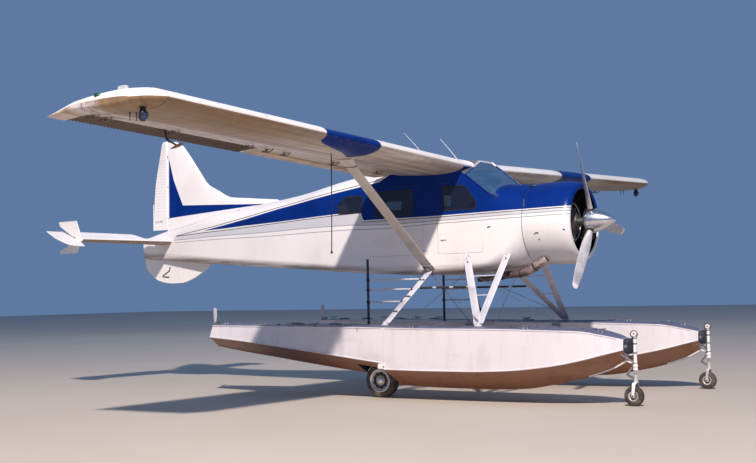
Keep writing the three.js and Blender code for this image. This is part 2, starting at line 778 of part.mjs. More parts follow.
function floatHull() {
  // Columns: aft, deck half width, chine half width, deck, chine and keel levels
  const rows = [
    [6050, 125, 192, 1076, 877, 748], [5500, 245, 290, 1074, 842, 664],
    [5000, 330, 365, 1072, 800, 600], [3900, 430, 445, 1064, 684, 458],
    [2564, 445, 460, 1045, 524, 300], [2560, 445, 460, 1045, 438, 202],
    [1900, 445, 460, 1032, 430, 180], [1200, 445, 460, 1028, 431, 176],
    [600, 445, 457, 1020, 452, 192], [0, 430, 445, 1004, 515, 285],
    [-400, 375, 395, 990, 590, 375], [-750, 250, 275, 925, 680, 490],
    [-930, 110, 125, 876, 730, 590],
  ];
  const ring = ([back, deck, chine, deckZ, chineZ, keelZ]) => [
    [0, keelZ], [chine, chineZ], [deck, deckZ], [deck * 0.6, deckZ + 9],
    [0, deckZ + 14], [-deck * 0.6, deckZ + 9], [-deck, deckZ], [-chine, chineZ],
  ].map(([y, z]) => at(aft(back), y - floatCentreY, z));
  const hull = loft(rows.map(ring));
  const well = box(aft(3160), aft(2562), -floatCentreY - 262, -floatCentreY + 262, 100, 640);
  const bumper = loft([
    [925, 112, 878, 700], [975, 125, 880, 672], [1008, 112, 868, 690], [1022, 70, 845, 720],
  ].map(([ahead, half, top, bottom]) => {
    const round = (top - bottom) / 4;
    return [
      [half, bottom + round], [half, top - round], [half * 0.6, top], [-half * 0.6, top],
      [-half, top - round], [-half, bottom + round], [-half * 0.6, bottom], [half * 0.6, bottom],
    ].map(([y, z]) => at(aft(-ahead), y - floatCentreY, z));
  }));
  const lugs = [-1, 1].map((side) => box(
    aft(6110), aft(6000), -floatCentreY + side * 28 - 8, -floatCentreY + side * 28 + 8, 1070, 1118,
  ));
  return join(cut(hull, well), bumper, ...lugs);
}
const floatSolid = floatHull();
pair("float", floatSolid, "float_paint");

// Water rudders, parked upright behind the sterns

const waterRudderAxis = at(aft(6092), -floatCentreY, 1095);

function waterRudder() {
  const { x, z } = waterRudderAxis;
  const boss = rod(at(x, -floatCentreY - 19.7, z), at(x, -floatCentreY + 19.7, z), 16, 12);
  const blade = plateXZ([
    [x - 22, z], [x - 34, z + 90], [x - 38, z + 236], [x - 10, z + 256], [x + 26, z + 240],
    [x + 30, z + 110], [x + 8, z],
  ], -floatCentreY - 6, -floatCentreY + 6);
  return join(boss, blade);
}
pair("water_rudder", waterRudder(), "blue_paint");

// Float struts: a V at the front, one leg behind, wires that brace them, and spreader bars

const frontFoot = at(aft(1262), -floatCentreY, 1040);
const frontTops = [at(aft(1250), -500, 2130), at(aft(1965), -520, 2120)];
const rearFoot = at(aft(2822), -floatCentreY, 1064);
const rearTop = at(aft(2545), -560, 1900);

// Where the rear strut's axis is at a level.
function onRearStrut(z) {
  const share = (z - rearFoot.z) / (rearTop.z - rearFoot.z);
  return rearFoot.clone().lerp(rearTop, share);
}

// Inner deck edge of the other float, where a crossing wire ends.
const farDeckEdge = (back) => at(aft(back), floatCentreY - 440, 1025);
const wireRadius = 7;

// The rear leg carries the wire that crosses to the other float. Its shift keeps it clear of
// the other side's wire.
function rearStrut(shift) {
  const pad = rod(at(rearFoot.x, rearFoot.y, 1035), at(rearFoot.x, rearFoot.y, 1100), 50, 12);
  const crossing = rod(onRearStrut(1845), farDeckEdge(2800), wireRadius, 6)
    .translate([shift, 0, 0]);
  const leg = join(streamlined(rearFoot, rearTop, 100, 38), pad, crossing);
  const seated = seat(seat(leg, floatSolid, [[0, 0, 1]]), fuselageSolid, [[0, -1, 0], [0, 0, -1]]);
  return largest(seat(seat(seated, liftStrut, noGap), mirrorY(floatSolid), noGap));
}

// The V carries two rungs, the long step tube that reaches the rear strut, a wire from its
// foot to the rear strut's top, and a wire that crosses to the other float.
function frontStrut(rear, shift) {
  const legs = frontTops.map((top) => streamlined(frontFoot, top, 112, 40));
  const pad = rod(at(frontFoot.x, frontFoot.y, 1015), at(frontFoot.x, frontFoot.y, 1075), 60, 12);
  const bars = [0.4, 0.66].map((share) => rod(
    frontFoot.clone().lerp(frontTops[0], share), frontFoot.clone().lerp(frontTops[1], share), 9, 8,
  ));
  const stepZ = 1600;
  const share = (stepZ - frontFoot.z) / (frontTops[1].z - frontFoot.z);
  const step = rod(onRearStrut(stepZ), frontFoot.clone().lerp(frontTops[1], share), 14, 8);
  const sideWire = rod(frontFoot.clone().setZ(1120), onRearStrut(1830), wireRadius, 6);
  const crossing = rod(frontFoot.clone().lerp(frontTops[1], 0.71), farDeckEdge(1240), wireRadius, 6)
    .translate([shift, 0, 0]);
  const frame = join(...legs, pad, ...bars, step, sideWire, crossing);
  const whole = seat(seat(frame, floatSolid, [[0, 0, 1]]), mirrorY(floatSolid), noGap);
  return largest(seat(seat(whole, fuselageSolid, [[0, -1, 0], [0, 0, -1]]), rear, noGap));
}

const wireShift = 12;
const [rearStrutSolid, rearStrutLeft] = [wireShift, -wireShift].map(rearStrut);
const frontStrutSolid = frontStrut(rearStrutSolid, wireShift);
piece("front_float_strut_right", frontStrutSolid, "float_paint");
piece("front_float_strut_left", mirrorY(frontStrut(rearStrutLeft, -wireShift)), "float_paint");
piece("rear_float_strut_right", rearStrutSolid, "float_paint");
piece("rear_float_strut_left", mirrorY(rearStrutLeft), "float_paint");

function spreader(back) {
  const bar = streamlined(at(aft(back), -1200, 960), at(aft(back), 1200, 960), 90, 40);
  const both = [[0, 1, 0], [0, -1, 0]];
  return largest(seat(seat(bar, floatSolid, both), mirrorY(floatSolid), both));
}
piece("front_spreader_bar", spreader(1240), "float_paint");
piece("rear_spreader_bar", spreader(2800), "float_paint");

// Boarding ladder: a post on the deck with rungs to the rear strut

function ladder() {
  const foot = at(aft(3335), -1150, 1000);
  const upright = rod(foot, at(foot.x, foot.y, 2050), 20, 10);
  const rungs = [1400, 1585, 1735].map((z) => rod(at(foot.x, foot.y, z), onRearStrut(z), 13, 8));
  const side = seat(join(upright, ...rungs), floatSolid, [[0, 0, 1]]);
  return largest(seat(side, rearStrutSolid, noGap));
}
pair("boarding_ladder", ladder(), "blue_paint");

// Main gear: a trailing arm out of the wheel well, with the wheel outboard of it

const mainAxle = at(aft(mainWheelAft), -floatCentreY, mainWheelRadius);

function mainArm() {
  const { x, z } = mainAxle;
  const y = mainAxle.y + mainArmOffset;
  const shape = new THREE.Shape();
  shape.moveTo(aft(2562) - gap, 640 - gap);
  shape.lineTo(aft(2562) - gap, 330);
  shape.lineTo(x + 60, z - 50);
  shape.absarc(x, z, 56, -0.9, -Math.PI - 0.4, true);
  shape.lineTo(x + 60, 430);
  shape.lineTo(aft(2700), 640 - gap);
  return cut(plateXZ(shape, y - 22, y + 22), rod(at(x, y - 40, z), at(x, y + 40, z), 23.9, 16));
}

// The wheel and its stub axle. Columns: radius, distance inboard of the wheel's middle
function mainWheel() {
  const half = mainTyreHalf;
  const tread = [
    [168, half - 10], [200, half], [232, half - 12], [mainWheelRadius, half - 42],
  ];
  const profile = [
    [0, 28 - half], [50, 24 - half], [70, 42 - half], [150, 34 - half],
    ...tread.map(([r, a]) => [r, -a]), ...tread.reverse(),
    [150, half - 34], [60, half - 40], [60, half - 10], [23, half - 10],
    [23, mainArmOffset + 30], [0, mainArmOffset + 30],
  ];
  return turned(profile, at(0, 1, 0), mainAxle, 32);
}
pair("main_gear_arm", mainArm(), "dark_metal");
pair("main_wheel", mainWheel(), "tyre");

// Nose gear: a leg on the bumper, a castoring fork and its wheel

const noseAxle = at(aft(noseWheelAft), -floatCentreY, noseWheelRadius);
const legX = aft(noseLegAft);

function noseLeg() {
  const y = -floatCentreY;
  const tube = rod(at(legX, y, 480), at(legX, y, 950), 23, 14);
  const collar = rod(at(legX, y, 460), at(legX, y, 540), 34, 14);
  const piston = rod(at(legX, y, 332), at(legX, y, 500), 16, 14);
  const crown = rod(at(legX, y - 34, 940), at(legX, y + 34, 940), 34, 14);
  const brace = rod(at(legX, y, 530), at(aft(-820), y, 640), 12, 8);
  return seat(join(tube, collar, piston, crown, brace), floatSolid, [[1, 0, 0], [0, 0, -1]]);
}

function noseFork() {
  const y = -floatCentreY;
  const neck = cut(
    rod(at(legX, y, 303), at(legX, y, 385), 26, 16), rod(at(legX, y, 331.7), at(legX, y, 395), 17.4, 16),
  );
  const bridge = box(legX - 44, legX + 24, y - 66, y + 66, 285, 307);
  const arms = [-1, 1].map((side) => plateXZ([
    [legX + 22, 303], [noseAxle.x + 20, noseAxle.z - 18], [noseAxle.x - 20, noseAxle.z - 18],
    [legX - 42, 303],
  ], y + side * 59 - 6, y + side * 59 + 6));
  const axle = rod(at(noseAxle.x, y - 60, noseAxle.z), at(noseAxle.x, y + 60, noseAxle.z), 9, 12);
  return join(neck, bridge, ...arms, axle);
}

function noseWheel() {
  const half = 46;
  const radius = noseWheelRadius;
  const profile = [
    [9.4, -half + 4], [34, -half + 4], [60, -half + 16], [radius - 24, -half + 2],
    [radius, -half + 26], [radius, half - 26], [radius - 24, half - 2], [60, half - 16],
    [34, half - 4], [9.4, half - 4], [9.4, -half + 4],
  ];
  return turned(profile, at(0, 1, 0), noseAxle, 20);
}
pair("nose_leg", noseLeg(), "white_paint");
pair("nose_fork", noseFork(), "bare_metal");
pair("nose_wheel", noseWheel(), "tyre");

// Cabin: instrument panel with its pedestal and control column, and seats

function instrumentPanel() {
  const face = plateXZ([
    [aft(1560), 2560], [aft(1545), 2890], [aft(1640), 2900], [aft(1650), 2885], [aft(1600), 2560],
  ], -500, 500);
  const pedestal = box(aft(1640), aft(1550), -90, 90, floorTop + gap, 2600);
  const column = rod(at(aft(1620), 0, 2300), at(aft(1860), 0, 2480), 22, 10);
  const post = rod(at(aft(1860), 0, 2470), at(aft(1860), 260, 2640), 20, 10);
  const wheel = turned([[120, -9], [140, -9], [140, 9], [120, 9], [120, -9]],
    at(1, 0, 0.25), at(aft(1868), 260, 2680), 16);
  const spokes = rod(at(aft(1866), 135, 2680), at(aft(1866), 385, 2680), 10, 8);
  return join(face, pedestal, column, post, wheel, spokes);
}
piece("instrument_panel", instrumentPanel(), "panel_black");

// A seat on its box, drawn in profile: columns are aft and level.
function seatBody(front, width, centreY) {
  const outline = [
    [front, floorTop + gap], [front - 10, 2350], [front, 2430], [front + 400, 2410],
    [front + 480, 2900], [front + 560, 2900], [front + 500, 2350], [front + 460, floorTop + gap],
  ].map(([back, z]) => [aft(back), z]);
  return plateXZ(outline, centreY - width / 2, centreY + width / 2);
}
pair("front_seat", seatBody(2130, 420, -275), "seat_fabric");
piece("rear_bench", seatBody(3200, 960, 0), "seat_fabric");

// Hand lines: free ropes under the wings, each with a knot at its end

function handLine() {
  const length = 1340;
  const y = -3330;
  const top = at(aft(2440), y, 0);
  const probe = rod(at(top.x, y, 3000), at(top.x, y, 3700), 3, 8);
  const wingUnderside = probe.intersect(wingSolid).boundingBox().min[2];
  const exit = wingUnderside - 2 * gap;
  const drop = (t) => at(top.x - 26 * t * t, y + 8 * t * t, exit - length * t);
  const path = new THREE.CatmullRomCurve3(Array.from({ length: 16 }, (_, i) => drop(i / 15)));
  const section = new THREE.Shape();
  section.absarc(0, 0, 7, 0, 2 * Math.PI);
  const tube = solid(new THREE.ExtrudeGeometry(section, {
    steps: 32, extrudePath: path, curveSegments: 4,
  }));
  const knot = turned([[0, -30], [13, -22], [17, 0], [13, 22], [0, 30]],
    at(0, 0, 1), drop(0.985), 10);
  return join(tube, knot);
}
pair("hand_line", handLine(), "rope");

export default floatplane;
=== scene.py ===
"""Looks of the floatplane: finishes, skins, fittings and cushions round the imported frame.

Metres, in the frame's axes: X runs forward, Y to port, Z up from the ground. Most lengthwise
places are distances aft of the datum plane, as in the CAD source. Starboard is the -Y side.
"""
import math

import bmesh
import bpy
import numpy as np
from mathutils import Matrix, Vector
from mathutils.bvhtree import BVHTree


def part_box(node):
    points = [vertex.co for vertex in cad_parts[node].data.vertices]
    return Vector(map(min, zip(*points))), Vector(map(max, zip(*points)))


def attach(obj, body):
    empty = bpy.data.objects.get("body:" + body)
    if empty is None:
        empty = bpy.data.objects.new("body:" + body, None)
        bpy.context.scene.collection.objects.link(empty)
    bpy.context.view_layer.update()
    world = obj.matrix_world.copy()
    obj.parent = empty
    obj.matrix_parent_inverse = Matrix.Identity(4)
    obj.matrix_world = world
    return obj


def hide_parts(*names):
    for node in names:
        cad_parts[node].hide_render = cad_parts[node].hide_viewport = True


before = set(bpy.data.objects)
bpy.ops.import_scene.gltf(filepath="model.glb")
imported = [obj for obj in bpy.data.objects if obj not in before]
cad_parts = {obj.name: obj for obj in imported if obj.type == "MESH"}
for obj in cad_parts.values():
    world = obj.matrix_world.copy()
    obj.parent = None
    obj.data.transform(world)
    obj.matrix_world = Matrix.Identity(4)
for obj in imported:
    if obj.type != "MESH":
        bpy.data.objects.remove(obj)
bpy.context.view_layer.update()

scene = bpy.context.scene
DATUM = 3.9475
THRUST_Z = 2.53  # level of the propeller's axis
FLOAT_Y = 1.49  # a float's centre line, out from the middle
UP, FORWARD, PORT = Vector((0, 0, 1)), Vector((1, 0, 0)), Vector((0, 1, 0))
SIDES = {"right": -1, "left": 1}


def aft(distance):
    return DATUM - distance


def high(node):
    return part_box(node)[1]


# Camera, at the photograph's viewing angle

def add_camera():
    data = bpy.data.cameras.new("camera")
    data.sensor_width, data.lens = 36, 58.09
    camera = bpy.data.objects.new("camera", data)
    yaw, pitch, roll = (math.radians(angle) for angle in (33.1015, 2.9459, -1.1094))
    camera.matrix_world = (
        Matrix.Translation((10.9229, -16.6577, 1.5161))
        @ Matrix.Rotation(yaw, 4, "Z")
        @ Matrix.Rotation(math.pi / 2 + pitch, 4, "X")
        @ Matrix.Rotation(roll, 4, "Z")
    )
    scene.collection.objects.link(camera)
    scene.camera = camera


add_camera()


# Shapes: points and faces are collected, then made into a piece

def smooth(rows, place):
    """Sizes at a place between rows that start with theirs, on a curve that never overshoots."""
    table = np.array(rows, float)
    x, y = table[:, 0], table[:, 1:]
    step = np.diff(x)[:, None]
    slope = np.diff(y, axis=0) / step
    both = slope[:-1] * slope[1:]
    total = slope[:-1] + slope[1:]
    tangent = np.vstack([slope[:1], np.where(both > 0, 2 * both / np.where(both > 0, total, 1), 0),
                         slope[-1:]])
    i = int(np.clip(np.searchsorted(x, place) - 1, 0, len(x) - 2))
    t = (place - x[i]) / step[i, 0]
    return ((1 + 2 * t) * (1 - t) ** 2 * y[i] + t * (1 - t) ** 2 * step[i] * tangent[i]
            + t * t * (3 - 2 * t) * y[i + 1] + t * t * (t - 1) * step[i] * tangent[i + 1])


def spread(first, last, count):
    return [first + (last - first) * i / (count - 1) for i in range(count)]


def arc(count, start=0, end=360):
    """Cosines and sines of evenly spaced angles, the end left out where it closes."""
    share = (end - start) / (count if end - start == 360 else count - 1)
    angles = [math.radians(start + share * i) for i in range(count)]
    return [(math.cos(a), math.sin(a)) for a in angles]


def rounded(corners, radius, steps=5):
    """An outline in the plane with its corners rounded."""
    outline = []
    for i, corner in enumerate(corners):
        here = Vector(corner)
        before = (Vector(corners[i - 1]) - here).normalized()
        after = (Vector(corners[(i + 1) % len(corners)]) - here).normalized()
        half = before.angle(after) / 2
        cut = radius / math.tan(half)
        centre = here + (before + after).normalized() * radius / math.sin(half)
        for k in range(steps):
            spot = here + before * cut * (1 - k / (steps - 1)) + after * cut * k / (steps - 1)
            outline.append(centre + (spot - centre).normalized() * radius)
    return outline


class Form:
    """A piece in the making. Each face has the number of its finish."""

    def __init__(self):
        self.points, self.faces, self.finish = [], [], []

    def add(self, points, faces, finish=0):
        start = len(self.points)
        self.points += [Vector(p) for p in points]
        self.faces += [[start + i for i in face] for face in faces]
        self.finish += [finish] * len(faces)
        return self

    def join(self, other, matrix=None):
        points = [matrix @ p for p in other.points] if matrix else other.points
        start = len(self.points)
        self.points += points
        self.faces += [[start + i for i in face] for face in other.faces]
        self.finish += other.finish
        return self

    def moved(self, matrix):
        return Form().join(self, matrix)

    def mirrored(self):
        return self.moved(Matrix.Diagonal((1, -1, 1, 1)))

    def skin(self, rings, finish=0, ends=True, loop=False, finish_of=None):
        """Joins rings of points in order, and fills the first and the last."""
        n, count = len(rings[0]), len(rings)
        for r in range(count if loop else count - 1):
            following = (r + 1) % count
            for i in range(n):
                j = (i + 1) % n
                self.faces.append([len(self.points) + k for k in (
                    r * n + i, r * n + j, following * n + j, following * n + i)])
                self.finish.append(finish_of(i) if finish_of else finish)
        if ends and not loop:
            start = len(self.points)
            self.faces.append([start + i for i in range(n)][::-1])
            self.faces.append([start + (count - 1) * n + i for i in range(n)])
            self.finish += [finish_of(None) if finish_of else finish] * 2
        self.points += [Vector(p) for ring in rings for p in ring]
        return self

    def turned(self, profile, centre, axis=FORWARD, steps=32, finish=0, loop=False):
        """Turns (radius, distance along the axis) pairs about an axis."""
        turn = UP.rotation_difference(Vector(axis))
        rings = [[Vector(centre) + turn @ Vector((radius * c, radius * s, along))
                  for c, s in arc(steps)] for radius, along in profile]
        return self.skin(rings, finish, loop=loop)

    def disc(self, centre, axis, radius, thick, finish=0, steps=24, edge=0.15):
        """A short cylinder with softened rims, standing up along its axis."""
        soft = min(radius, thick) * edge
        profile = [(0, 0), (radius - soft, 0), (radius, soft), (radius, thick - soft),
                   (radius - soft, thick), (0, thick)]
        return self.turned(profile, centre, axis, steps, finish)

    def tube(self, path, radius, steps=12, finish=0, ends=True, loop=False):
        """A pipe along a path; its radius may be a list, one for each point."""
        path = [Vector(p) for p in path]
        count = len(path)
        sizes = radius if isinstance(radius, (list, tuple)) else [radius] * count
        section = arc(steps)
        rings, across = [], None
        for i, point in enumerate(path):
            behind = path[i - 1] if i or loop else point
            ahead = path[(i + 1) % count] if i + 1 < count or loop else point
            along = (ahead - behind).normalized()
            if across is None:
                across = along.orthogonal().normalized()
            across = (across - along * across.dot(along)).normalized()
            other = along.cross(across)
            rings.append([point + (across * a + other * b) * sizes[i] for a, b in section])
        return self.skin(rings, finish, ends=ends, loop=loop)

    def rod(self, start, end, radius, steps=12, finish=0):
        return self.tube([start, end], radius, steps, finish)

    def blade(self, start, end, chord, thick, finish=0, steps=24):
        """A streamlined tube, blunt edge forward."""
        start, end = Vector(start), Vector(end)
        along = (end - start).normalized()
        chordwise = (FORWARD - along * along.x).normalized()
        across = along.cross(chordwise)
        outline = []
        for c, s in arc(steps):
            share = (1 - c) / 2
            half = 2.6 * (0.2969 * math.sqrt(share) - 0.126 * share - 0.3516 * share ** 2
                          + 0.2843 * share ** 3 - 0.1015 * share ** 4) + 0.06 * (share > 0.9)
            outline.append((0.5 - share, math.copysign(half, s) if abs(s) > 1e-6 else 0))
        return self.skin([[p + chordwise * a * chord + across * b * thick for a, b in outline]
                          for p in (start, end)], finish)

    def box(self, low_corner, high_corner, finish=0):
        (x0, y0, z0), (x1, y1, z1) = low_corner, high_corner
        rings = [[(x, y0, z0), (x, y1, z0), (x, y1, z1), (x, y0, z1)] for x in (x0, x1)]
        return self.skin(rings, finish)

    def box_at(self, centre, axes, sizes, finish=0):
        """A block round a centre, with its sides along three axes."""
        across = [Vector(axis) * size / 2 for axis, size in zip(axes, sizes)]
        rings = [[Vector(centre) + across[0] * end + across[1] * a + across[2] * b
                  for a, b in ((-1, -1), (1, -1), (1, 1), (-1, 1))] for end in (-1, 1)]
        return self.skin(rings, finish)

    def plate(self, outline, y0, y1, finish=0):
        """An outline of (x, z) with its thickness along Y."""
        return self.skin([[(x, y, z) for x, z in outline] for y in (y0, y1)], finish)

    def strip(self, path, normals, width, height, finish=0, loop=False):
        """A flat ribbon that stands up a little from the surface that it follows."""
        path = [Vector(p) for p in path]
        if isinstance(normals, Vector):
            normals = [normals] * len(path)
        rings = []
        for i, (point, normal) in enumerate(zip(path, normals)):
            behind = path[i - 1] if i or loop else point
            ahead = path[(i + 1) % len(path)] if i + 1 < len(path) or loop else point
            side = (ahead - behind).cross(normal).normalized() * width / 2
            rise = normal * height
            rings.append([point - side - rise, point - side * 0.9 + rise,
                          point + side * 0.9 + rise, point + side - rise])
        return self.skin(rings, finish, loop=loop)

    def ribbon(self, hits, width, height, finish):
        """A strip over surface hits, each a (point, normal)."""
        return self.strip([p for p, _ in hits], [n for _, n in hits], width, height, finish)

    def studs(self, spots, radius, height, finish=0, steps=6):
        """Small domed heads, each at a (point, normal)."""
        for point, normal in spots:
            profile = [(radius, -height), (radius * 0.75, height * 0.6), (0, height)]
            self.turned(profile, point, normal, steps, finish)
        return self

    def bolts(self, centre, normal, ring, rise, count, radius, height, finish=1):
        """Studs in a level ring round a point."""
        spots = [(centre + Vector((ring * c, ring * s, rise)), normal) for c, s in arc(count)]
        return self.studs(spots, radius, height, finish)

    def solid(self, name, *finishes):
        """The mesh as an object with clean normals, on no body yet."""
        mesh = bpy.data.meshes.new(name)
        mesh.from_pydata(self.points, [], self.faces)
        for finish in finishes:
            mesh.materials.append(finish)
        mesh.polygons.foreach_set("material_index", self.finish)
        tidy(mesh)
        made = bpy.data.objects.new(name, mesh)
        scene.collection.objects.link(made)
        return made

    def make(self, name, body, slot, *finishes, replaced=(), sharp=38, bevel=0):
        return keep(self.solid(name, *finishes), body, slot, replaced, sharp, bevel)

    def make_pair(self, name, body, slot, *finishes, replaced=(), **options):
        """A starboard form gives both sides. A star in a name stands for the side."""
        made = []
        for side, form in (("right", self), ("left", self.mirrored())):
            nodes = [node.replace("*", side) for node in replaced]
            made.append(form.make(f"{name}_{side}", body.replace("*", side), slot, *finishes,
                                  replaced=nodes, **options))
        return made


def tidy(mesh):
    work = bmesh.new()
    work.from_mesh(mesh)
    bmesh.ops.remove_doubles(work, verts=work.verts, dist=1e-5)
    bmesh.ops.dissolve_degenerate(work, edges=work.edges, dist=1e-6)
    bmesh.ops.recalc_face_normals(work, faces=work.faces)
    work.to_mesh(mesh)
    work.free()


def keep(piece, body, slot, replaced=(), sharp=38, bevel=0):
    """Gives a piece smooth shading, soft edges, its body and the nodes it stands for. The slot is
    not used.
    """
    mesh = piece.data
    mesh.polygons.foreach_set("use_smooth", [True] * len(mesh.polygons))
    mesh.set_sharp_from_angle(angle=math.radians(sharp))
    if bevel:
        edges = piece.modifiers.new("edges", "BEVEL")
        edges.width, edges.segments, edges.limit_method = bevel, 2, "ANGLE"
        edges.angle_limit = math.radians(sharp)
        mesh.set_sharp_from_angle(angle=math.pi)
    piece.modifiers.new("normals", "WEIGHTED_NORMAL").keep_sharp = True
    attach(piece, body)
    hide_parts(*replaced)
    return piece


def carve(target, tools, operation="DIFFERENCE"):
    """Cuts tools out of an object, or joins them to it, and removes them."""
    for tool in tools:
        step = target.modifiers.new("carve", "BOOLEAN")
        step.operation, step.object, step.solver = operation, tool, "EXACT"
        step.material_mode = "TRANSFER"
    graph = bpy.context.evaluated_depsgraph_get()
    target.data = bpy.data.meshes.new_from_object(target.evaluated_get(graph))
    target.modifiers.clear()
    for tool in tools:
        bpy.data.objects.remove(tool)
    tidy(target.data)
    return target


# Where rays start: beyond the wing tips, above the fin and below the floor
RAY_SIDE, RAY_TOP, RAY_FOOT = 9, 6, -1


class Skin:
    """Finds points on the surface of pieces, to seat details there."""

    def __init__(self, *pieces):
        graph = bpy.context.evaluated_depsgraph_get()
        points, faces = [], []
        for piece in pieces:
            mesh = piece.evaluated_get(graph).to_mesh()
            start = len(points)
            points += [piece.matrix_world @ v.co for v in mesh.vertices]
            faces += [[start + i for i in p.vertices] for p in mesh.polygons]
            piece.evaluated_get(graph).to_mesh_clear()
        self.tree = BVHTree.FromPolygons(points, faces)

    def hit(self, start, direction):
        # A ray that meets an edge exactly can slip through, so it is tried again close by
        for shift in (0, 2e-4, -2e-4):
            origin = Vector(start) + Vector((shift, shift, shift))
            point, normal, _, _ = self.tree.ray_cast(origin, Vector(direction))
            if point is not None:
                break
        else:
            return None
        return point, normal if normal.dot(Vector(direction)) < 0 else -normal

    def seen(self, starts, direction):
        found = [self.hit(start, direction) for start in starts]
        return [hit for hit in found if hit]

    def side(self, spots, side=-1):
        """Surface points seen from one side, for (x, z) spots."""
        return self.seen([(x, side * RAY_SIDE, z) for x, z in spots], (0, -side, 0))

    def down(self, spots):
        """Surface points seen from above, for (x, y) spots."""
        return self.seen([(x, y, RAY_TOP) for x, y in spots], (0, 0, -1))

    def up(self, spots):
        """Surface points seen from below, for (x, y) spots."""
        return self.seen([(x, y, RAY_FOOT) for x, y in spots], (0, 0, 1))


def along(points, step):
    """Evenly spaced spots on a line through points, in the plane or in space."""
    spots = []
    for a, b in zip(points, points[1:]):
        a, b = Vector(a), Vector(b)
        count = max(1, round((b - a).length / step))
        spots += [a.lerp(b, i / count) for i in range(count)]
    return spots + [Vector(points[-1])]


# Finishes: each material is a small node tree that reads the piece's own coordinates

def rgb(code):
    """A linear colour from a six-digit sRGB code."""
    parts = [int(code[i:i + 2], 16) / 255 for i in (0, 2, 4)]
    return tuple(p / 12.92 if p <= 0.04045 else ((p + 0.055) / 1.055) ** 2.4 for p in parts)


class Finish:
    """One material's nodes. An input is a number, a colour or another node's output."""

    def __init__(self, name, **constants):
        self.material = bpy.data.materials.new(name)
        self.material.use_nodes = True
        self.tree = self.material.node_tree
        self.shader = self.tree.nodes["Principled BSDF"]
        for socket, value in constants.items():
            self.feed(self.shader.inputs[socket.replace("_", " ")], value)
        self.spot = self.add("TexCoord", out="Object")
        self.x, self.y, self.z = (self.add("SeparateXYZ", self.spot, out=k) for k in range(3))

    def feed(self, socket, value):
        if isinstance(value, bpy.types.NodeSocket):
            self.tree.links.new(value, socket)
        elif value is not None:
            rgba = socket.type == "RGBA" and len(value) == 3
            socket.default_value = (*value, 1) if rgba else value

    def add(self, kind, *values, out=0, **settings):
        node = self.tree.nodes.new("ShaderNode" + kind)
        for key, value in settings.items():
            setattr(node, key, value)
        for i, value in enumerate(values):
            self.feed(node.inputs[i], value)
        return node.outputs[out]

    def calc(self, operation, a, b=0.0, c=0.0):
        return self.add("Math", a, b, c, operation=operation)

    def blend(self, share, first, second):
        """The first colour where share is 0, the second where it is 1."""
        node = self.tree.nodes.new("ShaderNodeMix")
        node.data_type = "RGBA"
        for index, value in ((0, share), (6, first), (7, second)):
            self.feed(node.inputs[index], value)
        return node.outputs[2]

    def rise(self, value, start, end):
        """0 up to start, 1 from end, and a soft step between."""
        return self.add("MapRange", value, float(start), float(end), 0.0, 1.0,
                        interpolation_type="SMOOTHSTEP")

    def above(self, value, edge, soft=0.003):
        return self.rise(self.calc("SUBTRACT", value, edge), -soft, soft)

    def near(self, value, edge, half, soft=0.002):
        """1 within half of the edge."""
        far = self.calc("ABSOLUTE", self.calc("SUBTRACT", value, edge))
        return self.rise(far, half + soft, half - soft)

    def both(self, *masks):
        share = masks[0]
        for mask in masks[1:]:
            share = self.calc("MULTIPLY", share, mask)
        return share

    def line(self, value, points):
        """Follows straight lines through (value, result) points."""
        start, end = points[0][0], points[-1][0]
        results = [result for _, result in points]
        bottom, top = min(results), max(results)
        share = self.add("MapRange", value, float(start), float(end), 0.0, 1.0)
        node = self.tree.nodes.new("ShaderNodeFloatCurve")
        spots = [((at - start) / (end - start), (result - bottom) / (top - bottom))
                 for at, result in points]
        curve = node.mapping.curves[0]
        curve.points[0].location, curve.points[1].location = spots[0], spots[-1]
        for spot in spots[1:-1]:
            curve.points.new(*spot)
        for point in curve.points:
            point.handle_type = "VECTOR"
        node.mapping.update()
        self.feed(node.inputs["Value"], share)
        return self.calc("MULTIPLY_ADD", node.outputs[0], top - bottom, bottom)

    def noise(self, scale, detail=3.0, stretch=(1, 1, 1), rough=0.55):
        node = self.tree.nodes.new("ShaderNodeTexNoise")
        spot = self.add("VectorMath", self.spot, stretch, operation="MULTIPLY")
        for socket, value in (("Vector", spot), ("Scale", float(scale)),
                              ("Detail", float(detail)), ("Roughness", rough)):
            self.feed(node.inputs[socket], value)
        return node.outputs["Fac"]

    def cells(self, scale):
        """Distances from the middles of small cells."""
        node = self.tree.nodes.new("ShaderNodeTexVoronoi")
        self.feed(node.inputs["Vector"], self.spot)
        self.feed(node.inputs["Scale"], float(scale))
        return node.outputs["Distance"]

    def wave(self, value, period):
        """Swings between 0 and 1 once in each period."""
        turn = self.calc("MULTIPLY_ADD", value, 2 * math.pi / period, 0.0)
        return self.calc("MULTIPLY_ADD", self.calc("SINE", turn), 0.5, 0.5)

    def calm(self, mask):
        """Takes most of the reflection away where the mask is 1."""
        inputs = self.shader.inputs
        for name, full in (("Specular IOR Level", 0.5), ("Coat Weight", 0.12)):
            self.feed(inputs[name], self.calc("MULTIPLY_ADD", mask, -0.75 * full, full))

    def finish(self, colour=None, roughness=None, height=None, depth=0.001):
        inputs = self.shader.inputs
        for socket, value in (("Base Color", colour), ("Roughness", roughness)):
            self.feed(inputs[socket], value)
        if height is not None:
            node = self.tree.nodes.new("ShaderNodeBump")
            self.feed(node.inputs["Distance"], depth)
            self.feed(node.inputs["Height"], height)
            self.tree.links.new(node.outputs[0], inputs["Normal"])
        return self.material


WHITE, CHALK = rgb("f2eeee"), rgb("d9d4d2")
BLUE, DEEP_BLUE = rgb("052c7c"), rgb("041e60")
PIN, GREY_LINE, SILVER_BAND = rgb("2b1233"), rgb("85878f"), rgb("cfd0d6")

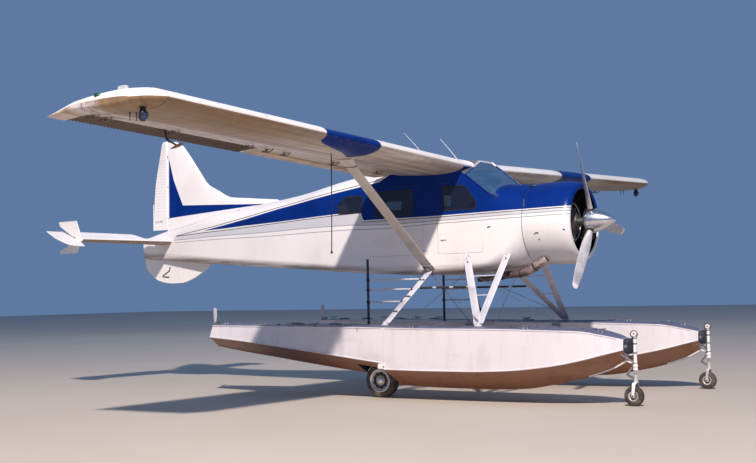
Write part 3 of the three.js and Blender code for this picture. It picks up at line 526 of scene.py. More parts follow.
# Livery lines along the hull's side: (x, z)
BLUE_TOP = [(-3.5, 2.70), (-3.0, 2.768), (-2.41, 2.855), (-1.65, 2.984), (-0.93, 3.085),
            (0.06, 3.215), (0.5, 3.28), (0.75, 3.42), (2.25, 3.42), (2.35, 3.7), (4.0, 3.7)]
BLUE_FOOT = [(-3.5, 2.70), (-3.0, 2.713), (-2.41, 2.739), (-1.65, 2.762), (-0.93, 2.795),
             (-0.3, 2.82), (0.14, 2.84), (0.17, 2.689), (1.5, 2.693), (2.7, 2.717), (4.0, 2.74)]
PIN_TOP = [(-4.2, 2.641), (-3.87, 2.684), (-3.21, 2.766), (-2.41, 2.886), (-1.66, 3.011),
           (-0.93, 3.12), (0.05, 3.246), (0.5, 3.312), (0.7, 3.42)]
PIN_FOOT = [(-4.2, 2.636), (-3.5, 2.666), (-2.8, 2.69), (-2.03, 2.725), (-1.29, 2.759),
            (-0.34, 2.799), (0.12, 2.815), (0.15, 2.664), (1.5, 2.673), (2.7, 2.697), (4.0, 2.72)]
GREY_TOP = [(-4.3, 2.563), (-3.2, 2.591), (-2.0, 2.6), (-0.9, 2.624), (-0.1, 2.626),
            (0.55, 2.60), (1.4, 2.615), (2.7, 2.647), (4.0, 2.67)]
GREY_FOOT = [(-4.3, 2.522), (-3.2, 2.535), (-2.0, 2.53), (-0.9, 2.546), (-0.1, 2.552),
             (0.55, 2.541), (1.4, 2.572), (2.7, 2.60), (4.0, 2.62)]
FIN_TOP = [(-4.48, 4.095), (-4.36, 3.68), (-4.14, 3.2), (-3.77, 3.185), (-2.2, 3.12)]
FIN_FOOT = [(-4.48, 2.98), (-3.21, 3.06), (-2.2, 3.12)]
# A wing band's outer edge: (x, distance out)
BAND_EDGE = [(1.45, 2.86), (1.67, 3.31), (1.79, 3.76), (1.86, 4.02), (1.92, 4.14), (2.06, 4.16)]
BAND_INNER = 2.90


def weather(f, clean, dull, amount=0.6, scale=0.9):
    """Broad dull patches and fine specks over a clean colour."""
    patches = f.rise(f.noise(scale, 6, rough=0.6), 0.42, 0.75)
    specks = f.rise(f.noise(scale * 45, 2), 0.66, 0.8)
    share = f.calc("MULTIPLY", f.calc("MAXIMUM", patches, specks), amount)
    return f.blend(share, clean, dull)


def glossy(f, base=0.26, span=0.22, scale=1.7):
    return f.calc("MULTIPLY_ADD", f.noise(scale, 5), span, base)


def livery():
    f = Finish("hull_livery", Coat_Weight=0.12, Coat_Roughness=0.1)
    x, z = f.x, f.z
    forward = f.above(x, -3.5, 0.02)
    blue = f.both(forward, f.above(f.line(x, BLUE_TOP), z), f.above(z, f.line(x, BLUE_FOOT)))
    wedge = f.both(f.above(f.line(x, FIN_TOP), z), f.above(z, f.line(x, FIN_FOOT)),
                   f.above(-2.2, x), f.above(x, -4.478))
    pin_top = f.both(f.near(z, f.line(x, PIN_TOP), 0.006), f.above(0.72, x), f.above(x, -4.2))
    pin_foot = f.both(f.near(z, f.line(x, PIN_FOOT), 0.006), f.above(x, -4.2))
    grey_top, grey_foot = (f.line(x, points) for points in (GREY_TOP, GREY_FOOT))
    band = f.both(f.above(f.line(x, PIN_FOOT), z), f.above(z, grey_top))
    greys = f.calc("MAXIMUM", f.near(z, grey_top, 0.005), f.near(z, grey_foot, 0.005))
    # Darker low on the belly: grime that streams aft of the exhaust, and painted shade along the
    # belly's lower edge
    streaks = f.noise(3.0, 5, (0.25, 1, 3))
    foot = f.line(x, [(-5.1, 2.36), (-4.0, 2.27), (-2.3, 2.12), (0.4, 1.93), (2.9, 1.93)])
    grime_and_shade = f.both(f.rise(f.calc("SUBTRACT", z, foot), 0.05, -0.06), f.rise(streaks, 0.25, 0.6))
    white = f.blend(f.calc("MULTIPLY", grime_and_shade, 0.8), weather(f, WHITE, CHALK, 0.45), rgb("6f5f57"))
    tone = f.blend(f.both(band, f.above(x, -4.25, 0.05)), white, SILVER_BAND)
    tone = f.blend(f.both(greys, f.above(x, -4.26, 0.03)), tone, GREY_LINE)
    deep = f.calc("MAXIMUM", blue, wedge)
    tone = f.blend(deep, tone, weather(f, BLUE, DEEP_BLUE, 0.7))
    f.calm(deep)
    tone = f.blend(f.calc("MAXIMUM", pin_top, pin_foot), tone, PIN)
    dents = f.noise(2.2, 2, (1, 1, 0.6))
    return f.finish(tone, glossy(f, 0.22, 0.2), dents, 0.006)


def wing_paint(name, clean, dull, stained_and_lit):
    """White over the top; beneath, real stains with painted warm bounce light, highlights and sky
    reflection; the blue band round the nose.
    """
    f = Finish(name, Coat_Weight=0.2, Coat_Roughness=0.15)
    out = f.calc("ABSOLUTE", f.y)
    band = f.both(f.above(out, BAND_INNER), f.above(f.line(f.x, BAND_EDGE), out),
                  f.above(f.x, 1.455))
    tone = weather(f, clean, dull, 0.5)
    if stained_and_lit:
        chordwise = f.noise(2.6, 7, (0.5, 2.4, 1), rough=0.7)
        spanwise = f.noise(1.4, 6, (6, 0.22, 1), rough=0.65)
        stain = f.rise(f.calc("MULTIPLY_ADD", chordwise, 0.35, f.calc("MULTIPLY", spanwise, 0.65)),
                       0.38, 0.66)
        tone = f.blend(f.calc("MULTIPLY", stain, 0.9), tone, rgb("8d7763"))
        # Pale spanwise streaks: painted highlights on wrinkles in the skin
        pale = f.rise(f.noise(2.1, 6, (9, 0.3, 1), rough=0.6), 0.57, 0.68)
        tone = f.blend(f.calc("MULTIPLY", pale, 0.5), tone, rgb("efe7df"))
        # Painted warm bounce light from the ground, browner toward the tip, and a painted sky
        # reflection in a pale wrinkled strip ahead of the hinge line
        far = f.both(f.rise(out, 3.0, 5.6), f.rise(f.x, 0.9, 1.0))
        tone = f.blend(f.calc("MULTIPLY", far, 0.85), tone,
                       f.blend(spanwise, rgb("9c7540"), rgb("624628")))
        strip = f.both(f.rise(out, 2.9, 3.6), f.rise(f.x, 1.30, 1.16), f.rise(f.x, 0.8, 0.84),
                       f.rise(f.noise(3.2, 7, (5, 1.1, 1), rough=0.75), 0.38, 0.56))
        tone = f.blend(f.calc("MULTIPLY", strip, 0.85), tone, rgb("d9d2d6"))
    tone = f.blend(band, tone, weather(f, BLUE, DEEP_BLUE, 0.8, 2.0))
    f.calm(band)
    dents = f.noise(1.8, 3, (0.5, 1, 1))
    return f.finish(tone, glossy(f, 0.3, 0.25), dents, 0.006)


def paint(name, clean, dull, amount=0.6, base=0.3, scale=0.9, coat=0.2):
    f = Finish(name, Coat_Weight=coat, Coat_Roughness=0.15)
    return f.finish(weather(f, clean, dull, amount, scale), glossy(f, base, 0.25, scale * 2),
                    f.noise(scale * 30, 2), 0.0004)


def float_paint(name, clean, dull, dirt, dirt_scale):
    """Sides and deck: sheet metal with water stains that run down."""
    f = Finish(name, Coat_Weight=0.15, Coat_Roughness=0.2)
    runs = f.rise(f.noise(2.4, 6, (2.6, 2.6, 0.5), rough=0.65), 0.46, 0.74)
    blots = f.rise(f.noise(dirt_scale, 7, (0.5, 1, 1.4), rough=0.7), 0.5, 0.72)
    tone = f.blend(f.calc("MULTIPLY", runs, 0.5), clean, dull)
    tone = f.blend(f.calc("MULTIPLY", blots, 0.35), tone, dirt)
    return f.finish(tone, glossy(f, 0.36, 0.25), f.noise(3.0, 2), 0.005)


def metal(name, bright, dark, base=0.25, stretch=(1, 1, 1), scale=8, metallic=1.0, depth=0.0003):
    f = Finish(name, Metallic=metallic)
    cloud = f.rise(f.noise(scale, 6, stretch, rough=0.65), 0.3, 0.75)
    grain = f.noise(scale * 14, 3, stretch)
    rough = f.calc("MULTIPLY_ADD", grain, 0.2, f.calc("MULTIPLY_ADD", cloud, 0.12, base))
    return f.finish(f.blend(cloud, bright, dark), rough, grain, depth)


def blade_metal():
    """Worn grey blades with pale bands near their tips, read by distance from the hub."""
    f = Finish("blade_metal", Metallic=0.2)
    rise = f.calc("SUBTRACT", f.z, THRUST_Z)
    squares = [f.calc("MULTIPLY", value, value) for value in (f.y, rise)]
    out = f.calc("SQRT", f.calc("ADD", *squares))
    wear = f.rise(f.noise(9, 6, rough=0.7), 0.35, 0.7)
    tone = f.blend(wear, rgb("c9c5cb"), rgb("a29ea6"))
    tone = f.blend(f.rise(out, 1.12, 1.14), tone, rgb("efecec"))
    return f.finish(tone, f.calc("MULTIPLY_ADD", wear, 0.2, 0.34), f.noise(60, 3), 0.0002)


def glass(name, tint, alpha, rough=0.03):
    f = Finish(name, Alpha=alpha, IOR=1.5, Coat_Weight=1.0, Coat_Roughness=0.02)
    film = f.rise(f.noise(3.5, 5, rough=0.6), 0.4, 0.8)
    return f.finish(f.blend(film, tint, tuple(1.6 * t + 0.01 for t in tint)),
                    f.calc("MULTIPLY_ADD", film, 0.1, rough))


def rubber(name="tyre_rubber", dusty=0.55):
    f = Finish(name)
    dust = f.rise(f.noise(7, 6, rough=0.7), 0.35, 0.75)
    tone = f.blend(f.calc("MULTIPLY", dust, dusty), rgb("2c2a2b"), rgb("8d7a6b"))
    return f.finish(tone, f.calc("MULTIPLY_ADD", dust, 0.15, 0.72), f.noise(90, 3), 0.0008)


def rusty():
    f = Finish("burnt_steel", Metallic=0.45)
    cloud = f.noise(6, 7, (0.6, 1, 1), rough=0.7)
    tone = f.blend(f.rise(cloud, 0.35, 0.6), rgb("55403d"), rgb("85706d"))
    tone = f.blend(f.rise(f.noise(14, 5), 0.52, 0.68), tone, rgb("35262a"))
    # Pale heat stain where the elbow leaves the cowling
    tone = f.blend(f.both(f.rise(f.x, 2.86, 3.06), f.rise(cloud, 0.3, 0.55)), tone, rgb("c9b9b4"))
    return f.finish(tone, f.calc("MULTIPLY_ADD", cloud, 0.3, 0.45), f.noise(40, 4), 0.0008)


def rope_braid():
    f = Finish("braided_rope", Sheen_Weight=0.3)
    turn = f.calc("ARCTAN2", f.calc("SUBTRACT", f.y, 3.33), f.calc("SUBTRACT", f.x, 1.5))
    strands = f.calc("SINE", f.calc("MULTIPLY_ADD", f.z, 420.0, f.calc("MULTIPLY", turn, 3.0)))
    tone = f.blend(f.rise(strands, -0.6, 0.6), rgb("17151d"), rgb("3d3a48"))
    return f.finish(tone, 0.85, strands, 0.002)


def leather():
    f = Finish("seat_leather", Sheen_Weight=0.2)
    grain = f.cells(260)
    tone = f.blend(f.rise(f.noise(6, 5), 0.35, 0.7), rgb("3b3531"), rgb("5b524b"))
    rough = f.calc("MULTIPLY_ADD", f.noise(18, 3), 0.25, 0.45)
    return f.finish(tone, rough, grain, 0.0012)


def lining():
    """Quilted grey trim inside the cabin."""
    f = Finish("cabin_lining", Sheen_Weight=0.3)
    weave = f.calc("MULTIPLY", f.wave(f.x, 0.006), f.wave(f.z, 0.006))
    tone = weather(f, rgb("5a5a60"), rgb("3e3e44"), 0.7, 3.0)
    return f.finish(tone, 0.85, weave, 0.0006)


def floor_finish():
    f = Finish("studio_floor")
    tone = f.blend(f.noise(0.35, 4), rgb("b8ada0"), rgb("c5bcb1"))
    return f.finish(tone, f.calc("MULTIPLY_ADD", f.noise(2.0, 3), 0.1, 0.75))


HULL = livery()
WING_TOP = wing_paint("wing_top_paint", rgb("efecea"), rgb("d6d0ca"), False)
# Beneath: a beige base that stands for painted warm bounce light from the ground, with real stains
# over it
WING_UNDER_BOUNCE_AND_STAIN = wing_paint("wing_under_paint", rgb("d8cabc"), rgb("b9a794"), True)
PLAIN_WHITE = paint("white_paint_plain", WHITE, CHALK, 0.6)
NAVY = paint("dark_blue_paint", rgb("10203f"), rgb("26345a"), 0.5, 0.35, 2.0)
STRUT_PAINT = paint("strut_paint", rgb("d2d1d9"), rgb("a7a3ab"), 0.8, 0.35, 3.0)
FLOAT_SIDE = float_paint("float_side_paint", rgb("e0dade"), rgb("c9c3c9"), rgb("a59f9f"), 1.2)
# Bottom: brown painted shade with warm bounce light, over the same metal as the sides
FLOAT_BOTTOM_SHADE = float_paint("float_bottom_paint", rgb("93664d"), rgb("6e4832"), rgb("4d3326"), 2.2)
# Deck: blue-grey painted sky-lit shade
FLOAT_DECK_SHADE = float_paint("float_deck_paint", rgb("62657f"), rgb("4e5069"), rgb("3c3d4e"), 1.6)
POLISHED = metal("polished_alloy", rgb("e6e6ea"), rgb("c4c4ca"), 0.1, (1, 1, 1), 5)
STEEL = metal("plain_steel", rgb("c2c2c6"), rgb("8a888a"), 0.28)
DARK_STEEL = metal("dark_steel", rgb("55504c"), rgb("2c2927"), 0.45, metallic=0.7)
CHROME = metal("chrome_plate", rgb("f0f0f2"), rgb("d5d5da"), 0.05, scale=3)
RIM = metal("cast_rim", rgb("d3cfce"), rgb("a19a96"), 0.35, scale=14, metallic=0.25)
ENGINE_GREY = metal("engine_casting", rgb("6d6b69"), rgb("3b3836"), 0.45, metallic=0.6)
FIN_BLACK = metal("cylinder_fins", rgb("3a3735"), rgb("1c1a19"), 0.5, metallic=0.5)
BLADE = blade_metal()
TINTED = glass("tinted_glass", (0.016, 0.018, 0.048), 0.42)
SCREEN_GLASS = glass("screen_glass", (0.05, 0.13, 0.28), 0.42)
LAMP_GLASS = glass("lamp_glass", (0.01, 0.03, 0.09), 0.9)
GREEN_GLASS = glass("green_lens", (0.01, 0.11, 0.06), 0.92)
RED_GLASS = glass("red_lens", (0.28, 0.01, 0.01), 0.92)
CLEAR_LENS = glass("clear_lens", (0.6, 0.6, 0.62), 0.8)
TYRE = rubber()
SEAL = rubber("rubber_seal", 0.12)
RUST = rusty()
ROPE = rope_braid()
LEATHER = leather()
LINING = lining()
PANEL = paint("panel_black_crackle", rgb("17171a"), rgb("2b2b30"), 0.6, 0.6, 9.0, 0.0)
DIAL = paint("dial_face", rgb("e4e2da"), rgb("c5c1b4"), 0.5, 0.5, 12.0, 0.0)
BOLT = metal("fastener_steel", rgb("8d8a88"), rgb("4e4b49"), 0.4, scale=30)
# Dark seams, and painted shade inside openings: the float wheel wells, the exhaust's bore, the
# scoop's open end and the rims' lightening holes
JOINT_AND_HOLLOW_SHADE = paint("joint_shadow", rgb("26242a"), rgb("3b383d"), 0.5, 0.7, 4.0, 0.0)


# Hand lines: free ropes that hang from the wings, each with an overhand knot at its end

LINE_LENGTH, LINE_RADIUS, LINE_OUT = 1.34, 0.007, 3.33


def add_hand_line(side, sign):
    node = f"hand_line_{side}"
    leave = Vector((aft(2.44), sign * LINE_OUT, high(node).z))
    route = [leave + Vector((-0.026 * t * t, -sign * 0.008 * t * t, -LINE_LENGTH * t))
             for t in spread(0, 1, 33)]
    data = bpy.data.curves.new(f"rope_{side}", "CURVE")
    data.dimensions = "3D"
    data.bevel_depth, data.bevel_resolution, data.use_fill_caps = LINE_RADIUS, 3, True
    data.materials.append(ROPE)
    spline = data.splines.new("POLY")
    spline.points.add(len(route) - 1)
    for point, spot in zip(spline.points, route):
        point.co = (*spot, 1)
    rope = bpy.data.objects.new(f"rope_{side}", data)
    scene.collection.objects.link(rope)
    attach(rope, "airframe")
    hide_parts(node)

    centre = route[-1] + UP * 0.014
    turns = [math.radians(10 * i) for i in range(36)]
    loop = [centre + Vector(((math.sin(a) + 2 * math.sin(2 * a)) * 0.0042,
                             (math.cos(a) - 2 * math.cos(2 * a)) * 0.0042,
                             -math.sin(3 * a) * 0.009)) for a in turns]
    form = Form().tube(loop, 0.0062, 8, loop=True)
    form.tube([centre, centre - UP * 0.018, centre - UP * 0.026], [0.0065, 0.0068, 0.004], 10)
    knot = form.make(f"rope_knot_{side}", "airframe", "rope", ROPE)


for side, sign in SIDES.items():
    add_hand_line(side, sign)


# Wing section, shared by the wings and the hull's centre section

CHORD, WING_X, WING_Z = 1.588, aft(1.914), 3.42
TILT, DIHEDRAL = math.radians(1.5), math.tan(math.radians(1.98))
CABIN_HALF = 0.61
HINGE_SHARE = 0.745  # share of the chord ahead of the flaps and ailerons
TIP_JOINT = 7.068  # where the tip cap begins
WING_STEPS = 22  # from the leading edge to the trailing edge


def wing_point(share, side, y, lead=0.0, squeeze=1.0):
    """A point on the upper (1) or lower (-1) wing surface, on the mean line at side 0."""
    half = 0.8 * (0.2969 * math.sqrt(share) - 0.126 * share - 0.3516 * share ** 2
                  + 0.2843 * share ** 3 - 0.1 * share ** 4)
    x = -lead - share * (CHORD - lead)
    z = (0.06 * share * (1 - share) + side * half) * CHORD * squeeze
    return Vector((WING_X + x * math.cos(TILT) + z * math.sin(TILT), y,
                   WING_Z + x * math.sin(TILT) + z * math.cos(TILT) + abs(y) * DIHEDRAL))


def wing_ring(y, back=1.0, lead=0.0, squeeze=1.0):
    shares = [back * (1 - math.cos(math.pi * i / WING_STEPS)) / 2 for i in range(WING_STEPS + 1)]
    upper = [wing_point(s, 1, y, lead, squeeze) for s in shares]
    lower = [wing_point(s, -1, y, lead, squeeze) for s in shares[:0:-1]]
    return upper + lower


# Hull. Columns: aft, half width, bottom, top, top corner across and up, low corner across and up
NOSE = [
    (1.00, 0.6052, 1.915, 3.128, 0.592, 0.604, 0.592, 0.604),
    (1.30, 0.6092, 1.866, 3.132, 0.500, 0.440, 0.380, 0.300),
    (1.60, 0.6102, 1.832, 3.100, 0.400, 0.300, 0.200, 0.150),
    (1.90, 0.6102, 1.812, 3.040, 0.300, 0.200, 0.120, 0.110),
]
CABIN = [
    (1.29, 0.480, 2.900, 3.320, 0.100, 0.080, 0.050, 0.050),
    (1.50, 0.609, 2.800, 3.420, 0.160, 0.110, 0.060, 0.060),
    (1.76, 0.610, 1.900, 3.500, 0.330, 0.150, 0.130, 0.110),
    (1.95, 0.610, 1.808, 3.540, 0.330, 0.170, 0.110, 0.100),
    (2.56, 0.610, 1.795, 3.550, 0.300, 0.170, 0.100, 0.090),
    (3.50, 0.606, 1.836, 3.470, 0.300, 0.200, 0.100, 0.090),
    (4.15, 0.592, 1.876, 3.400, 0.380, 0.270, 0.110, 0.100),
]
TAIL = [
    (5.25, 0.475, 1.962, 3.224, 0.400, 0.310, 0.130, 0.130),
    (6.25, 0.366, 2.030, 3.108, 0.320, 0.300, 0.130, 0.130),
    (7.20, 0.262, 2.102, 3.006, 0.230, 0.260, 0.120, 0.120),
    (7.90, 0.186, 2.152, 2.880, 0.165, 0.200, 0.100, 0.110),
    (8.46, 0.124, 2.196, 2.752, 0.112, 0.120, 0.080, 0.100),
    (9.05, 0.062, 2.250, 2.615, 0.055, 0.060, 0.055, 0.080),
]
WALL = 0.03
FLOOR_TOP = 2.06
SCREEN_POINT = Vector((aft(1.31), 0, 3.13))
# Doors: (aft, z) corners from the hinge edge, and their windows
DOORS = {
    "front_door": (
        [(1.640, 2.110), (1.640, 2.950), (1.900, 3.180), (2.400, 3.180), (2.400, 2.110)],
        [(1.745, 2.775), (1.745, 2.890), (1.935, 3.120), (2.300, 3.120), (2.300, 2.775)],
    ),
    "rear_door": (
        [(2.660, 2.110), (2.660, 3.120), (2.720, 3.180), (3.660, 3.180), (3.660, 2.110)],
        [(2.840, 2.735), (2.840, 3.110), (3.520, 3.110), (3.520, 2.735)],
    ),
}
AFT_WINDOW = [(3.800, 2.830), (3.770, 3.070), (4.080, 3.070), (4.240, 2.960), (4.240, 2.830)]


def body_ring(row, inset=0.0, steps=10):
    back, half, bottom, top, top_y, top_z, low_y, low_z = row
    corners = ((half - low_y, bottom + low_z, low_y, low_z, -90),
               (half - top_y, top - top_z, top_y, top_z, 0),
               (top_y - half, top - top_z, top_y, top_z, 90),
               (low_y - half, bottom + low_z, low_y, low_z, 180))
    return [(aft(back), y + (across - inset) * c, z + (rise - inset) * s)
            for y, z, across, rise, start in corners for c, s in arc(steps, start, start + 90)]


def body_loft(rows, count, inset=0.0):
    places = spread(rows[0][0], rows[-1][0], count)
    return Form().skin([body_ring((place, *smooth(rows, place)), inset) for place in places])


def outline_of(corners, radius=0.0, grow=0.0):
    """(aft, z) corners as an outline in X and Z, grown from its middle and rounded."""
    middle = [sum(c[k] for c in corners) / len(corners) for k in (0, 1)]
    grown = [(aft(a + math.copysign(grow, a - middle[0])), z + math.copysign(grow, z - middle[1]))
             for a, z in corners]
    return rounded(grown, radius) if radius else grown


def beyond(normal, point):
    """A block that fills the space beyond a plane."""
    turn = UP.rotation_difference(normal).to_matrix().to_4x4()
    block = Form().box((-3, -3, 0), (3, 3, 3))
    return block.moved(Matrix.Translation(point) @ turn).solid("beyond", LINING)


def build_hull():
    cabin = body_loft(CABIN + TAIL, 74).solid("hull", HULL, LINING)
    carve(cabin, [beyond(Vector((0.578, 0.371 * side, 0.727)), SCREEN_POINT) for side in (1, -1)])
    nose = body_loft(NOSE, 16).solid("nose", HULL)
    centre = Form().skin([wing_ring(y) for y in (-CABIN_HALF, CABIN_HALF)]).solid("centre", HULL)
    carve(cabin, [nose, centre], "UNION")
    space = [(*CABIN[1][:2], 2.70, 3.40, *CABIN[1][4:])]
    space += [(back, half, FLOOR_TOP - WALL, min(top, 3.40), *radii)
              for back, half, _, top, *radii in CABIN[2:]]
    tools = [
        body_loft(space, 12, WALL),
        Form().box((aft(1.9), -0.54, FLOOR_TOP), (aft(1.42), 0.54, 2.95)),
        Form().box((aft(1.24), -0.43, 2.13), (aft(0.9), 0.43, 2.93)),
    ]
    openings = [outline_of(outline, 0.032, 0.003) for outline, _ in DOORS.values()]
    openings.append(outline_of(AFT_WINDOW, 0.03))
    for outline in openings:
        panel = Form().plate(outline, -CABIN_HALF - 0.06, -CABIN_HALF + 0.06)
        tools += [panel, panel.mirrored()]
    carve(cabin, [tool.solid("tool", LINING) for tool in tools])
    return keep(cabin, "airframe", "white_paint", ["fuselage"], 30)


hull = build_hull()
hull.name = "hull_skin"


def carry(node, *finishes):
    """A CAD node that stays, with its own finish."""
    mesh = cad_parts[node].data
    mesh.materials.clear()
    for finish in finishes:
        mesh.materials.append(finish)


def rim_of(node, facing):
    """The outline of a CAD node's face that looks one way, in order."""
    work = bmesh.new()
    work.from_mesh(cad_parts[node].data)
    bmesh.ops.remove_doubles(work, verts=work.verts, dist=1e-4)
    reach = max(v.co.dot(facing) for v in work.verts)
    picked = {face for face in work.faces if face.normal.dot(facing) > 0.98
              and face.calc_center_median().dot(facing) > reach - 0.02}
    edges = [edge for edge in work.edges if len(picked & set(edge.link_faces)) == 1]
    ring = [edges[0].verts[0], edges[0].verts[1]]
    left = set(edges[1:])
    while left:
        step = next((e for e in left if ring[-1] in e.verts), None)
        if step is None:
            break
        left.discard(step)
        ring.append(step.other_vert(ring[-1]))
    points = [v.co.copy() for v in ring[:-1]]
    work.free()
    return points


def even(points, step=0.04):
    """A closed outline with more points along its sides."""
    return along([*points, points[0]], step)[:-1]


def keep_pair(piece, name, body, slot, replaced=(), **options):
    """A carved starboard object and its mirror image become a pair of pieces."""
    twin = bpy.data.objects.new(f"{name}_left", piece.data.copy())
    twin.data.transform(Matrix.Diagonal((1, -1, 1, 1)))
    twin.data.flip_normals()
    scene.collection.objects.link(twin)
    piece.name = f"{name}_right"
    for side, one in (("right", piece), ("left", twin)):
        nodes = [node.replace("*", side) for node in replaced]
        keep(one, body.replace("*", side), slot, nodes, **options)


# Doors and windows

DARK_SEAL = paint("window_rubber", rgb("12131f"), rgb("23253a"), 0.6, 0.5, 8.0, 0.0)


def add_doors():
    outside = -PORT
    for name, (outline, window) in DOORS.items():
        body = name + "_body_*"
        panel = Form().plate(outline_of(outline, 0.03), -CABIN_HALF, -CABIN_HALF + WALL)
        hole = Form().plate(outline_of(window, 0.035), -0.7, -0.5).solid("hole", LINING)
        carved = carve(panel.solid(name, HULL, LINING), [hole])
        keep_pair(carved, name + "_panel", body, "white_paint", [name + "_*"], sharp=30,
                  bevel=0.0015)
        fittings = Form()
        seal = [(x, -CABIN_HALF, z) for x, z in even(outline_of(window, 0.035, 0.008))]
        fittings.strip(seal, outside, 0.022, 0.0035, 0, loop=True)
        rear, hinge = outline[-1][0], outline[0][0]
        grip = [(aft(rear - 0.06 - 0.1 * t), -CABIN_HALF - 0.019 + 0.006 * t * t, 2.33)
                for t in spread(0, 1, 6)]
        fittings.tube(grip, [0.008, 0.0075, 0.007, 0.0065, 0.006, 0.0045], 10, 3)
        fittings.disc((aft(rear - 0.07), -CABIN_HALF + 0.002, 2.33), outside, 0.019, 0.005, 3)
        fittings.disc((aft(rear - 0.07), -CABIN_HALF, 2.33), outside, 0.009, 0.019, 3)
        fittings.disc((aft(rear - 0.055), -CABIN_HALF + 0.002, 2.42), outside, 0.010, 0.004, 3)
        for z in (2.24, 2.62, 2.9):
            for k in range(3):
                base = Vector((aft(hinge), -CABIN_HALF, z + 0.032 * k))
                fittings.rod(base, base + UP * 0.029, 0.0065, 10, 2)
        frame_rows = [(aft(a), z) for a, z in ((hinge + 0.03, 2.14), (rear - 0.03, 2.14),
                                                (rear - 0.03, 2.66), (hinge + 0.03, 2.66))]
        spots = along([*frame_rows, frame_rows[0]], 0.075)[:-1]
        fittings.studs([(Vector((x, -CABIN_HALF, z)), outside) for x, z in spots],
                       0.0045, 0.0016, 2)
        fittings.make_pair(name + "_fittings", body, "white_paint", DARK_SEAL, STEEL, HULL,
                           PLAIN_WHITE)
        for side in SIDES:
            carry(f"{name}_glass_{side}", TINTED)


def add_window_frames():
    for side, sign in SIDES.items():
        carry(f"aft_window_{side}", TINTED)
        form = Form()
        outline = even(outline_of(AFT_WINDOW, 0.03, 0.006))
        form.strip([(x, sign * (CABIN_HALF - 0.008), z) for x, z in outline],
                   PORT * sign, 0.026, 0.006, 0, loop=True)
        form.make(f"aft_window_seal_{side}", "airframe", "glass", DARK_SEAL)
    carry("windscreen", SCREEN_GLASS)
    form = Form()
    for sign in SIDES.values():
        facing = Vector((0.578, 0.371 * sign, 0.727)).normalized()
        rim = rim_of("windscreen", facing)
        form.strip([p + facing * 0.001 for p in rim], facing, 0.03, 0.006, 0, loop=True)
        form.strip([p + facing * 0.006 for p in rim], facing, 0.012, 0.003, 1, loop=True)
    form.make("windscreen_frame", "airframe", "white_paint", HULL, STEEL)


add_doors()
add_window_frames()


# Cowling: an outer and an inner skin that meet in a rolled lip

COWL_CENTRE = Vector((DATUM, 0, 2.521))
# Columns: radius, aft
COWL_OUTSIDE = [(0.606, 1.000), (0.612, 0.800), (0.612, 0.560), (0.606, 0.420), (0.590, 0.330),
                (0.563, 0.277), (0.532, 0.254), (0.504, 0.254), (0.488, 0.268)]
COWL_INSIDE = [(0.488, 0.268), (0.497, 0.290), (0.520, 0.305), (0.560, 0.345), (0.586, 0.430),
               (0.594, 0.560), (0.594, 0.780), (0.586, 1.000)]
COWL_JOINT, COWL_SEAM_Z = 0.985, 2.388  # how far aft the rear joint is; the side seam's level


def curve_through(points, count):
    """A denser profile through points, smooth in both columns."""
    rows = [(i, *point) for i, point in enumerate(points)]
    return [tuple(smooth(rows, t)) for t in spread(0, len(points) - 1, count)]


def add_cowling():
    form = Form()
    for number, points in enumerate((COWL_OUTSIDE, COWL_INSIDE)):
        rings = [[COWL_CENTRE + Vector((-back, radius * c, radius * s)) for c, s in arc(96)]
                 for radius, back in curve_through(points, 40)]
        form.skin(rings, number, ends=False)
    rear = [[COWL_CENTRE + Vector((-1.0, radius * c, radius * s)) for c, s in arc(96)]
            for radius in (0.606, 0.586)]
    form.skin(rear, 1, ends=False)
    cowl = form.make("cowling_skin", "airframe", "cowl_paint", HULL, FIN_BLACK,
                     replaced=["cowling"], sharp=60)
    skin = Skin(cowl)
    form = Form()
    hits = [skin.hit(COWL_CENTRE + Vector((-COWL_JOINT, 2 * c, 2 * s)), (0, -c, -s))
            for c, s in arc(96)]
    points, normals = zip(*hits)
    form.strip(points, normals, 0.007, 0.0012, 0, loop=True)
    form.studs([(p + FORWARD * 0.016, n) for p, n in hits[::2]], 0.005, 0.0018, 1)
    for side in SIDES.values():
        hits = skin.side(along([(2.97, COWL_SEAM_Z), (3.6, COWL_SEAM_Z)], 0.04), side)
        form.ribbon(hits, 0.004, 0.0010, 3)
        form.studs([(p + UP * 0.014, n) for p, n in hits[::2]], 0.0045, 0.0016, 1)
        # Latches and drain holes of the lower panel
        for x, z, long in ((3.615, 2.393, 0.035), (3.197, 2.362, 0.05), (3.219, 2.268, 0.02),
                           (3.16, 2.35, 0.016)):
            point, normal = skin.side([(x, z)], side)[0]
            form.strip([point - FORWARD * long / 2, point + FORWARD * long / 2],
                       normal, 0.018, 0.004, 2)
    # Bright hinge of the upper panel, beside the rear joint
    bar = skin.side([(2.958 + 0.003 * k, 2.87 - 0.012 * k) for k in range(11)])
    form.ribbon(bar, 0.016, 0.004, 4)
    form.make("cowling_seams", "airframe", "cowl_paint", JOINT_AND_HOLLOW_SHADE, BOLT, DARK_STEEL, HULL, CHROME)

    # A small air scoop on the crown at the rear joint
    form = Form()
    point, normal = skin.hit((2.955, -0.23, 6), (0, 0, -1))
    rings = []
    for share in spread(0, 1, 9):
        swell = math.sqrt(max(0.02, 1 - share ** 2))
        rings.append([point + Vector((-0.02 + 0.12 * share, 0.045 * swell * c,
                                      0.04 * swell * max(s, -0.3))) for c, s in arc(20)])
    form.skin(rings, 0)
    # A dark disc of painted shade in the scoop's open end
    form.disc(point + Vector((-0.021, 0, 0.012)), -FORWARD, 0.026, 0.004, 1)
    form.make("cowling_scoop", "airframe", "cowl_paint", NAVY, JOINT_AND_HOLLOW_SHADE)


# Radial engine seen through the cowling's mouth

